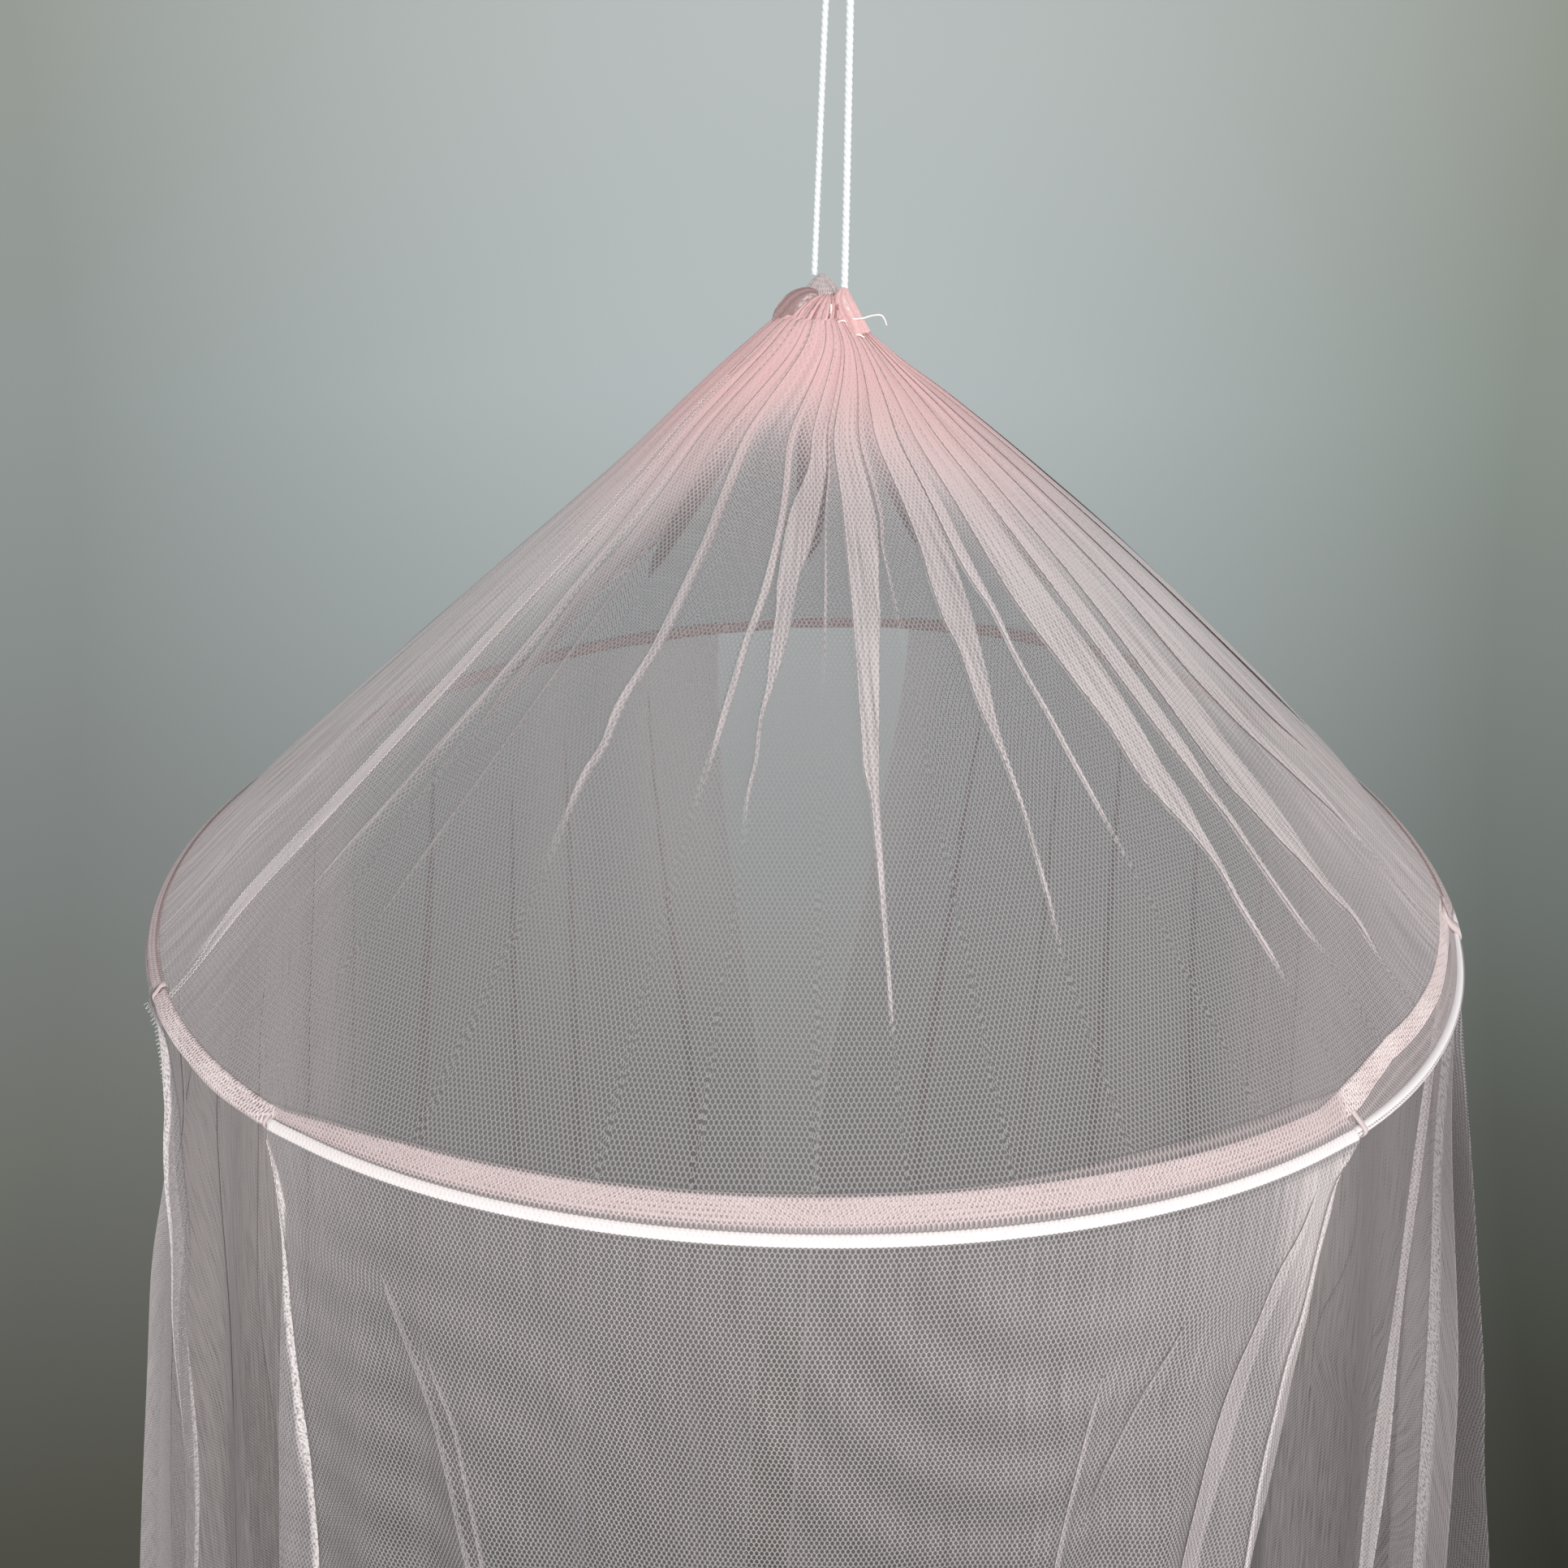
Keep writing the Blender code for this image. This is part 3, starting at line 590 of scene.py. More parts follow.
coneProfile = [
    # drop, radius, centre x
    (0.004, 0.013, -0.006), (0.01, 0.0205, -0.0065), (0.02, 0.032, -0.0065), (0.04, 0.0565, -0.004),
    (0.07, 0.0915, -0.001), (0.11, 0.139, 0), (0.16, 0.197, 0), (0.205, 0.25, 0), (0.2395, 0.2925, 0),
]
coneTucks = [
    tuck((0.02, -158, -146), (0.1, -157, -150), (0.2, -155, -154)),
    tuck((0.02, -142, -132), (0.1, -140, -134), (0.18, -136, -135)),
    tuck((0.02, -126, -114), (0.1, -125, -118), (0.21, -121, -120)),
    tuck((0.02, -110, -99), (0.1, -108, -102), (0.19, -101, -100)),
    tuck((0.02, -94, -83), (0.1, -92, -86), (0.22, -87, -86), dense=0.35),
    tuck((0.02, -80, -70), (0.1, -77, -71), (0.16, -74, -70.5), (0.235, -71.5, -68.5), dense=0.25),
    tuck((0.02, -66, -60), (0.08, -63.2, -58.9), (0.14, -61.7, -58.6), (0.235, -60.9, -58.7), dense=0.5,
         bright=1, fade=0.02, seam=True),
    tuck((0.02, -56, -51), (0.12, -51.2, -49.4), (0.161, -51.9, -51), (0.19, -52.6, -52),
         (0.214, -53.4, -53), dense=0.25, bright=0.4),
    tuck((0.02, -48, -39), (0.08, -47, -38), (0.1, -48.5, -44), (0.12, -48, -45), (0.16, -48.5, -47.5),
         dense=0.1, bright=0.2),
    tuck((0.02, -37, -34), (0.1, -40.8, -40.2), (0.15, -41.6, -41.1), (0.209, -42.4, -42), dense=0.1,
         bright=0.25),
    tuck((0.02, -30, -24), (0.07, -28.1, -25.5), (0.08, -27.5, -24.9), (0.09, -27.5, -25.4),
         (0.11, -27.6, -25.9), (0.13, -28.9, -27.5), (0.14, -28.3, -27.2), (0.15, -28.9, -27.8),
         (0.178, -28, -27.3), dense=0.28, bright=0.6),
    tuck((0.02, -14, -9), (0.07, -11.2, -9.4), (0.09, -11.9, -10.2), (0.11, -13.3, -12.1),
         (0.13, -13.9, -12.9), (0.15, -14.5, -13.8), (0.158, -14.8, -14.2), dense=0.3, bright=0.5),
    tuck((0.02, -6, 0), (0.05, -3.5, 1.6), (0.07, -8.7, -1.5), (0.08, -9.3, -3.2), (0.09, -9.3, -5.2),
         (0.1, -8.7, -5.7), (0.11, -8.7, -6.3), (0.12, -8.4, -7.3), (0.13, -8.7, -8.2), (0.14, -8.5, -8),
         (0.15, -8.8, -8.3), (0.164, -8.4, -8), dense=0.26, bright=0.8, fade=0.02),
    tuck((0.02, 1, 2.4), (0.05, 2.2, 2.9), (0.07, 0, 0.6), (0.09, -0.3, 0.3), (0.125, -0.7, -0.2),
         dense=0.2, bright=0.4),
    tuck((0.02, 4, 13), (0.07, 4.5, 12.6), (0.08, 4.5, 11.5), (0.09, 4.5, 10.1), (0.1, 4.5, 9.3),
         (0.11, 4.5, 8.3), (0.12, 4.5, 7.6), (0.13, 4.5, 7), (0.14, 4.5, 6.5), (0.15, 5.1, 6.1),
         (0.18, 5.25, 5.75), (0.209, 5.3, 5.5), dense=0.3, bright=0.9, fade=0.012),
    tuck((0.02, 14, 17), (0.07, 13.2, 14.4), (0.08, 12, 12.8), (0.1, 12, 12.6), (0.115, 12.2, 12.6),
         dense=0.2, bright=0.5),
    tuck((0.02, 19, 29), (0.08, 20.6, 27.4), (0.09, 20, 26.4), (0.1, 20, 25.6), (0.11, 20.9, 24.6),
         (0.12, 20.9, 23.8), (0.13, 21.2, 22.8), (0.14, 21.8, 22.5), (0.15, 21.9, 22.4),
         (0.194, 20.8, 21.1), dense=0.28, bright=0.8, fade=0.015),
    tuck((0.02, 30, 35), (0.08, 28, 30.9), (0.09, 28.5, 30.7), (0.1, 29.6, 30.7), (0.11, 29.7, 30.3),
         (0.12, 30, 30.5), (0.13, 30.5, 31), (0.145, 30.9, 31.3), (0.178, 31.9, 32.2), dense=0.4,
         bright=0.9),
    tuck((0.02, 37, 46), (0.09, 35, 43.7), (0.12, 37.5, 44.5), (0.14, 39, 44), (0.15, 39, 43.5),
         (0.16, 40.2, 43.7), (0.17, 41.5, 43.2), (0.18, 42.1, 42.9), (0.19, 41.8, 42.3), (0.214, 41.7, 42),
         dense=0.35, bright=0.8, fade=0.012),
    tuck((0.02, 47, 53), (0.1, 46, 50.5), (0.13, 46.5, 50), (0.15, 47.2, 49.7), (0.16, 47.6, 49),
         (0.17, 48, 48.9), (0.18, 48, 48.6), (0.2, 48, 48.4), (0.213, 48.6, 49.2), dense=0.35, bright=0.8,
         fade=0.015),
    tuck((0.02, 55, 62), (0.1, 53, 60), (0.14, 52, 59), (0.16, 51.8, 57.8), (0.17, 52.8, 57.8),
         (0.18, 53.5, 57.4), (0.19, 54.5, 56.8), (0.2, 55, 56.4), (0.21, 55.9, 56.7), (0.226, 55.9, 56.3),
         dense=0.3, bright=0.7, fade=0.015),
    tuck((0.02, 64, 71), (0.1, 64, 70), (0.13, 63, 68), (0.15, 64, 67.5), (0.17, 66.5, 69),
         (0.19, 68.5, 70), (0.209, 69.6, 70.2), dense=0.3, bright=0.6),
    tuck((0.02, 74, 84), (0.1, 74, 82), (0.19, 77, 80), dense=0.3),
    tuck((0.02, 88, 98), (0.1, 88, 96), (0.2, 90, 92), dense=0.3),
    tuck((0.02, 104, 116), (0.1, 104, 112), (0.21, 106, 107)),
    tuck((0.02, 122, 134), (0.1, 122, 130), (0.19, 125, 126)),
    tuck((0.02, 140, 152), (0.1, 141, 148), (0.21, 144, 145)),
    tuck((0.02, 158, 170), (0.1, 159, 167), (0.19, 162, 163)),
    tuck((0.02, 176, 188), (0.1, 177, 185), (0.2, 180, 181)),
]
gatherEnd = [
    # angle round the cone, drop at which the gathers near the crown have opened out
    (-165, 0.11), (-120, 0.15), (-90, 0.2), (-66, 0.2), (-52, 0.16), (-45, 0.125), (-38, 0.1), (-30, 0.085),
    (-20, 0.062), (-8, 0.072), (4, 0.08), (16, 0.085), (30, 0.1), (40, 0.13), (55, 0.17), (70, 0.22),
    (90, 0.22), (120, 0.15), (195, 0.11),
]
crownRings = [
    # height over the crown's middle, centre x, radius x, radius y
    (-0.005, -0.0045, 0.015, 0.014), (-0.0022, -0.0035, 0.0132, 0.0115), (0.0004, -0.0022, 0.0108, 0.0088),
    (0.0022, -0.0012, 0.0078, 0.006), (0.0032, -0.0005, 0.0042, 0.0032),
]
coneLook = {
    "foot": 0.2405, "knotPull": 34.0, "ruffle": 0.0006, "pressed": 0.82, "pinkDrop": 0.108,
    "flankClose": 0.52,
}


def coneRadius(drop, angle):
    side = np.maximum(0.0, np.sin(np.radians(angle)))
    return easeThrough(coneProfile, drop) + 0.007 * side * np.sin(np.pi * np.minimum(drop / 0.24, 1.0))


def ruffle(angle, seed=0.0):
    # Uneven little pleats round the crown, from -1 to 1.
    a = np.radians(angle)
    return (np.sin(31 * a + 2.1 * np.sin(5 * a + seed)) + 0.6 * np.sin(53 * a + 1.7 * np.sin(3 * a) + seed)
            + 0.4 * np.sin(17 * a + seed)) / 2.0


def buildCone(material):
    foot = coneLook["foot"]
    drops = np.concatenate([[foot, 0.2385], np.linspace(0.236, 0.0525, 84), np.linspace(0.05, 0.006, 26)])
    middle = easeThrough(coneProfile, drops)
    *columns, stops = clothColumns(-165.0, 195.0, coneTucks, drops, middle, 0.8)
    angle, level, fold, dense, strip = (v[..., :-1] for v in columns)
    drop = np.broadcast_to(drops[:, None], angle.shape)
    _, high, _, _, casing = bandFrame(angle)
    footR, footZ = cased(high, (hoopRadius - 0.0029, 0.0048), casing)
    toFoot = smooth((drop - 0.205) / (foot - 0.205))
    radius = coneRadius(drop, angle) * (1 - toFoot) + (footR - (foot - drop) * 1.22) * toFoot
    height = crownRise - drop + toFoot * (footZ + 0.0008 - (crownRise - foot))
    gather = fromTable(gatherEnd, angle)
    close = smooth((gather - drop) / (gather - 0.02)) ** 1.4
    lift = (level * layerGap * (1 - coneLook["pressed"] * close)
            + coneLook["ruffle"] * close * ruffle(angle) * smooth(drop / 0.03))
    # Near the crown the pleats swing toward the knot, which is in front and to the right.
    pull = coneLook["knotPull"] * (1 - smooth(drop / 0.055)) ** 1.5
    turned = angle + pull * np.cos(np.radians(angle))
    points = ringPoints(radius + lift * math.sin(coneSlope), turned, height + lift * math.cos(coneSlope))
    points[..., 0] += easeThrough(coneProfile, drop, 2)
    # The cloth goes on over the crown in smaller and smaller rings.
    a, size = np.radians(turned[-1]), 1 + 0.07 * ruffle(angle[-1], 1.0)
    top = [np.stack([centreX + radiusX * size * np.sin(a), -radiusY * size * np.cos(a),
                     crownZ + rise + 0.0005 * ruffle(angle[-1], 2.0)], axis=-1)
           for rise, centreX, radiusX, radiusY in crownRings]
    points = np.concatenate([points, np.array(top)])
    extra = len(top)
    whole = np.ones((extra, angle.shape[1]))
    pink = smooth((coneLook["pinkDrop"] - drop) / 0.095) * (0.25 + 0.75 * close ** 1.5)
    flank = coneLook["flankClose"] * hump(np.abs(angle - 360 * (angle > 180)) - 82, 26.0)
    dense = overlay(overlay(np.minimum(dense * 1.6, 0.8), flank), 0.985 * close)
    # Near the crown the pleats' ridges get pale lines: painted highlight.
    fold = np.maximum(fold, 0.5 * close) * (fold > 0) * (1 - 0.25 * close)
    dense, pink, fold = (np.concatenate(v) for v in ((dense, whole), (pink, whole), (fold, 0 * whole)))
    # Cloth coordinates unroll the cone span by span, so the net keeps its true pitch.
    half = math.sin(math.atan2(0.2925, 0.2395))
    reference = np.array([np.mean((a[0] + b[0]) / 2) for a, b in zip(stops, stops[1:])])[strip]
    slant = np.concatenate([np.hypot(radius, drop), np.outer(np.linspace(0.018, 0.002, extra), whole[0])])
    around = np.concatenate([angle, np.repeat(angle[-1:], extra, axis=0)])
    sides = ((around, slant),
             (np.concatenate([around[:, 1:], around[:, :1] + 360], axis=1), np.roll(slant, -1, axis=1)))

    def unroll(angles, s):
        turn = np.radians(angles - reference) * half + 0.10 * np.sin(strip * 2.4) * (strip % 4 != 0)
        return np.stack([s * np.sin(turn) + strip * 0.0007, s * np.cos(turn) + strip * 0.0011], axis=-1)

    maps = [tuple(unroll(*side) for side in sides),
            tuple(np.stack([np.radians(angles) * 0.14, s], axis=-1) for angles, s in sides)]
    cone = netObject("cone_cloth", points, material, maps, dense, fold, pink, around=True,
                     tip=(0.0, 0.0, crownZ + 0.0036))
    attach(cone, "root")
    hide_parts("cone_net")
    seam = [i for i, fold in enumerate(coneTucks) if fold["seam"]][0]
    outer = np.where(strip == 4 * seam + 3)[0]
    seamEdges = [(points[:len(drops) - 12, a], points[:len(drops) - 12, b])
                 for a, b in ((outer[0], outer[2]), (outer[-1] + 1, outer[-2]))]
    pieces = [stitchedEdges("cone_seam_stitches", seamEdges, 0.0014, 0.0018), *buildCrown(material),
              buildFringe(material)]
    print("cone", len(cone.data.polygons), round(sheetArea(cone), 3))


# The crown lobe's darker colours are painted shade, for a lobe that lies in shadow.
paintedShadeLobeColours = {"stacked": (0.31, 0.245, 0.24), "gathered": (0.33, 0.215, 0.21)}
crownPieces = {
    # path of (x, y, height over the crown's middle), radius at each point, pleats, density, pink
    "crown_neck": ([(0.0115, -0.0075, -0.0125), (0.0098, -0.007, -0.0075), (0.0072, -0.0055, -0.003),
                    (0.0058, -0.004, 0.0008), (0.0059, -0.0028, 0.004), (0.0062, -0.002, 0.0058)],
                   (0.0068, 0.0058, 0.0054, 0.0052, 0.0042, 0.0017), 11, 1, 1),
    "crown_lobe": ([(-0.0215, -0.002, -0.011), (-0.017, -0.0024, -0.0052), (-0.0128, -0.002, -0.0004),
                    (-0.0085, -0.001, 0.0022), (-0.0045, 0, 0.0022)],
                   (0.0036, 0.0056, 0.0058, 0.0046, 0.002), 8, 0.97, 0.9),
    "crown_puff": ([(-0.003, 0.005, -0.002), (-0.003, 0.005, 0.002), (-0.003, 0.0048, 0.0058),
                    (-0.003, 0.0045, 0.0086), (-0.0031, 0.0042, 0.0103)],
                   (0.0075, 0.008, 0.0072, 0.005, 0.0016), 7, 0.55, 0.15),
}
crownThreads = [
    # white thread through the gathers, and its loose end
    [(0.0006, -0.0115, -0.003), (0.0008, -0.0122, -0.0012), (0.0007, -0.0112, 0.0006)],
    [(0.004, -0.0125, -0.0062), (0.0056, -0.013, -0.0056), (0.007, -0.0122, -0.006)],
    [(0.011, -0.0128, -0.011), (0.013, -0.0136, -0.0112), (0.015, -0.013, -0.0122)],
    [(0.01, -0.012, -0.005), (0.014, -0.011, -0.0048), (0.0185, -0.008, -0.004), (0.0222, -0.006, -0.0042),
     (0.024, -0.0055, -0.0066), (0.0246, -0.0052, -0.0084)],
]


def buildCrown(material):
    # The lobe's net takes the darker colours of painted shade.
    paintedShadeLobeMaterial = makeNetMaterial("lobeNetPaintedShade", {**netLook, **paintedShadeLobeColours})
    rows, sides = 26, 96
    theta = np.linspace(0, 2 * np.pi, sides + 1)
    along = np.linspace(0, 1, rows)[:, None]
    made = []
    for name, (route, radii, pleats, dense, pink) in crownPieces.items():
        path, length = evenPath([(x, y, crownZ + z) for x, y, z in route], rows)
        size = easeThrough(list(enumerate(radii)), along * (len(radii) - 1))
        pleat = np.abs(np.cos(pleats / 2 * theta + 1.3 * np.sin(2 * theta))) * (
            0.8 + 0.2 * np.sin(3 * theta + 4 * along))
        pleat = pleat[:, :-1]
        points = tubePoints(path, size * (0.80 + 0.24 * pleat))
        maps = clothMap(theta * 0.012, along * length)
        piece = netObject(name, points, paintedShadeLobeMaterial if name == "crown_lobe" else material, maps, dense,
                          0.35 * smooth(pleat * 6 - 5), pink, around=True, root=path[0], tip=path[-1])
        mendFaces(piece)
        made.append(piece)
    for i, route in enumerate(crownThreads):
        path = evenPath([(x, y, crownZ + z) for x, y, z in route], 24)[0]
        ring = np.full((len(path), 8), 0.00038)
        made.append(tubeObject(f"crown_thread_{i + 1}", path, ring, stitchMaterial))
    for piece in made:
        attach(piece, "root")
    return made


bandLook = {"thick": 0.0006, "light": (0.87, 0.77, 0.76), "dark": (0.42, 0.31, 0.30), "roughness": 0.8}


def makeBandMaterial(name, look):
    # Several layers of the same net lie together in the band, so its holes show only as darker dots.
    material, shader, add = startMaterial(name, look["roughness"])
    cloth = add("UVMap", uv_map="cloth")
    holes = []
    for turn, size in ((0.0, 1.0), (0.35, 0.93)):
        turned = add("VectorRotate", {"Vector": cloth, "Angle": turn}, rotation_type="Z_AXIS")
        sizes = {key: netLook[key] * size for key in ("pitch", "holeWide", "holeTall")}
        holes.append(1.0 - add("Group", {"cloth": turned, "soft": 0.3, **sizes}, node_tree=weaveGroup))
    both = holes[0] * holes[1]
    either = (holes[0] * 0.35 + both * 0.65) * cloth.noise(45.0).stretched(0.35, 0.65, 0.55, 1.0)
    grain = add("TexCoord", {}, "Object").noise(1100.0, sides="3D").stretched(0.35, 0.65)
    # The shade attribute darkens the band toward its back: painted shade.
    paintedBackShade = add("Attribute", {}, "Fac", attribute_name="shade")
    dots = (either + (paintedBackShade * 0.45 + grain * 0.34).clamped()).clamped()
    join(mixColours(add, dots, look["light"], look["dark"]), shader["Base Color"])
    join(1.0 - both * 0.35, shader["Alpha"])
    join(add("Bump", {"Height": either, "Strength": 0.4, "Distance": 0.0004}, invert=True), shader["Normal"])
    return material


bandOutline = [
    # share up the flat band and side of it, and the place in the casing: turn round the hoop or (out, up)
    (0, -0.8, -100, 0, 0), (0, 0.8, -60, 0, 0), (0.1, 1.3, -25, 0, 0), (0.25, 0.9, 10, 0, 0),
    (0.45, 1.1, 42, 0, 0), (0.6, 1, 72, 0, 0), (0.78, 0.9, None, -0.0006, 0.0035),
    (0.92, 1.25, None, -0.0016, 0.0045), (1, 0.8, None, -0.0024, 0.005), (1, -0.8, None, -0.0034, 0.0047),
    (0.7, -0.9, 168, 0, 0), (0.3, -0.9, -146, 0, 0),
]


def buildBand():
    material = makeBandMaterial("bandNet", bandLook)
    angles = np.arange(0, 360, 0.5)
    low, high, face, width, casing = bandFrame(angles)
    pinch = 1 - 0.10 * hump(angles - 298.6, 1.6)
    rows = []
    for share, out, turn, topR, topZ in bandOutline:
        crumple = 0.0002 * np.sin(np.radians(angles) * 41 + 9 * share) * (0 < share < 1)
        flat = low + (high - low) * share + face * (out * bandLook["thick"] + crumple)
        if turn is None:
            onHoop = hoopRadius + topR * pinch, topZ * pinch
        else:
            size = (casingRadius + 0.0003 * np.sin(np.radians(angles) * 29 + turn)) * pinch
            onHoop = (hoopRadius + size * math.cos(math.radians(turn)), size * math.sin(math.radians(turn)))
        radius, height = cased(flat, onHoop, casing)
        rows.append(ringPoints(radius, angles, height))
    around = np.radians(np.append(angles, 360.0)) * bandRadius
    up = np.array([row[0] for row in bandOutline])[:, None] * np.append(width, width[0])
    cloth = clothMap(around, up)
    signed = (angles + 180) % 360 - 180
    # Painted shade, growing toward the back on both sides, where the band lies in shade behind the cone's
    # net.
    paintedBackShade = np.maximum(smooth((-54 - signed) / 14), smooth((signed - 76) / 8))
    band = gridObject("band_cloth", np.array(rows + rows[:1]), material, around=True,
                      uvs={"cloth": np.concatenate([cloth, cloth[:1]])}, attributes={"shade": paintedBackShade})
    mendFaces(band)
    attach(band, "root")
    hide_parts("casing_band")
    # The band is a strip of the net with both its faces modelled.
    print("band", round(sheetArea(band), 4))


# The hoop.

hoopLook = {"colour": (0.82, 0.775, 0.77), "roughness": 0.35, "sides": 16}


def buildHoop():
    material = makePlainMaterial("hoopCoating", hoopLook["colour"], hoopLook["roughness"], 0.03, 300)
    angles = np.arange(0, 360, 1.5)
    rows = []
    for k in range(hoopLook["sides"]):
        a = -2 * math.pi * k / hoopLook["sides"]
        rows.append(ringPoints(hoopRadius + hoopWire / 2 * math.cos(a) + 0 * angles, angles,
                               hoopWire / 2 * math.sin(a)))
    hoop = gridObject("hoop_ring", np.array(rows), material, around=True, through=True)
    mendFaces(hoop)
    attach(hoop, "root")
    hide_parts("hoop")
    print("hoop", len(hoop.data.polygons))


def buildFringe(material):
    # The cone's cut edge, a strip of net hanging from the band to the hoop where the band has come off it.
    angles = np.arange(-39.0, 78.0, 0.75)
    low = bandFrame(angles)[0]
    shares = np.linspace(1, 0, 7)[:, None]
    radius = low[0] + 0.0006 + (hoopRadius + 0.0024 - low[0] - 0.0006) * shares
    height = low[1] + (0.0012 - low[1]) * shares - 0.0010 * np.sin(np.pi * shares)
    points = ringPoints(radius, angles, height)
    maps = clothMap(np.radians(angles) * bandRadius, np.linspace(0, 0.006, 7)[:, None])
    fringe = netObject("cone_fringe", points, material, maps, 0.22, 0.0, 0.1)
    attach(fringe, "root")
    return fringe


# The skirt's three panels.

def sideTucks(*places):
    # Narrow folds down a side panel, each a little wider lower down.
    tucks = []
    for i, place in enumerate(places):
        start = 0.015 + 0.06 * ((i * 7) % 5) / 4
        wide = 0.10 + 0.10 * ((i * 5) % 4) / 3
        drift = 0.10 * math.sin(2.3 * i)
        ends = ((start, 0, 0.01), (0.16, 0, wide / 3), (0.45, drift, wide / 2),
                (1.5 + 0.5 * math.sin(i), 0.6 * drift, wide))
        edges = [(depth, place + shift - half, place + shift + half) for depth, shift, half in ends]
        tucks.append(tuck(*edges, grow=0.05, fade=0.7, bright=0.35 + 0.3 * ((i * 3) % 4) / 3, dense=0.10))
    return tucks


frontPanel = {
    "node": "front_panel", "rise": True, "serge": ((0.0034, 0.9), (0.003, 0.32)),
    # Angles at hoop, middle depth and hem, then the reach: (depth, reach) rows, or start and hem.
    "folds": [
        (-39.6, -38, -45, 0.03, 0.008), (-36.5, -34.5, -40.5, 0.04, -0.022),
        (-32.5, -29.5, -35.5, 0.05, 0.018), (-29.5, -25, -29, 0.03, -0.024), (-26, -20.5, -22, 0.02, 0.034),
        (-19, -14.5, -16, 0.06, -0.016), (-12, -8.5, -10.5, 0.1, 0.02), (-5, -2.5, -4.5, 0.12, -0.028),
        (2, 3.5, 3, 0.12, 0.032), (9, 9, 9, 0.08, -0.018), (16.5, 13.5, 15, 0.04, 0.024),
        (23, 17.5, 20, 0.04, -0.026), (29, 21.5, 27, 0.02, 0.036), (34, 25, 33, 0.01, -0.016),
        (37.5, 28, 37.5, 0.01, 0.016), (40.1, 30.6, 42, 0.01, -0.004),
    ],
    # Depth under the hoop and angle: left folded edge and the free edge behind it, then the right ones.
    "sides": (
        [(0, -39.6), (0.036, -38.7), (0.121, -39), (0.195, -38.6), (0.5, -39.4), (2.05, -45)],
        [(0, -39.5), (0.02, -38.9), (0.042, -38.3), (0.062, -38), (0.087, -37.4), (0.111, -36.7),
         (0.133, -36), (0.161, -35.4), (0.185, -35.1), (0.5, -35.4), (2.05, -40.5)],
        [(0, 40.1), (0.002, 38.8), (0.01, 37.6), (0.022, 36.9), (0.039, 35.6), (0.059, 34.6), (0.083, 33.2),
         (0.102, 32.4), (0.129, 31.1), (0.156, 29.7), (0.2, 28.9), (2.05, 42)],
        [(0, 40), (0.01, 37.2), (0.028, 35.6), (0.055, 33.8), (0.073, 32.2), (0.092, 31.2), (0.112, 30.2),
         (0.151, 29), (0.2, 28), (2.05, 39.5)],
    ),
    "tucks": [
        tuck((0.03, -29.9, -29.6), (0.039, -29.1, -28.7), (0.063, -26.8, -26.3), (0.073, -25.7, -25.3),
             (0.084, -24.7, -24.3), (0.101, -23.7, -23.3), (0.115, -23, -22.6), (0.13, -22.3, -21.9),
             (0.144, -21.6, -21.2), (0.3, -20.3, -19.8), (0.9, -20.6, -20.3), grow=0.02, fade=0.5,
             bright=0.6),
        tuck((0.05, -26.2, -26), (0.067, -24.6, -24.4), (0.085, -22.9, -22.6), (0.099, -22.2, -22),
             (0.12, -21.3, -21), (0.142, -20.5, -20.2), (0.3, -19, -18.6), (0.6, -19.2, -19), grow=0.02,
             fade=0.2, bright=0.35),
        tuck((0.048, 18.4, 18.6), (0.058, 17.6, 17.9), (0.075, 16.8, 17.2), (0.093, 16.1, 16.5),
             (0.109, 15.5, 15.9), (0.129, 14.9, 15.4), (0.2, 14, 14.6), (0.4, 13.5, 14), (1.2, 14, 14.4),
             grow=0.02, fade=0.6, bright=0.55),
        tuck((0.036, 24.2, 24.5), (0.05, 22.5, 22.9), (0.064, 20.8, 21.2), (0.083, 19.1, 19.5),
             (0.111, 17.1, 17.5), (0.135, 16.2, 16.4), grow=0.015, fade=0.05, bright=0.2, dense=0.05),
        tuck((0.008, 35.6, 35.9), (0.011, 35, 35.4), (0.022, 33.6, 34.3), (0.036, 31.4, 32.4),
             (0.053, 29.7, 30.8), (0.07, 27.9, 29.4), (0.09, 26.4, 28.4), (0.11, 25.4, 27.4),
             (0.145, 23.9, 25.9), (0.16, 23.6, 25.7), (2.06, 30, 33), grow=0.01, fade=0.001, bright=0.9,
             dense=0.2),
    ],
}
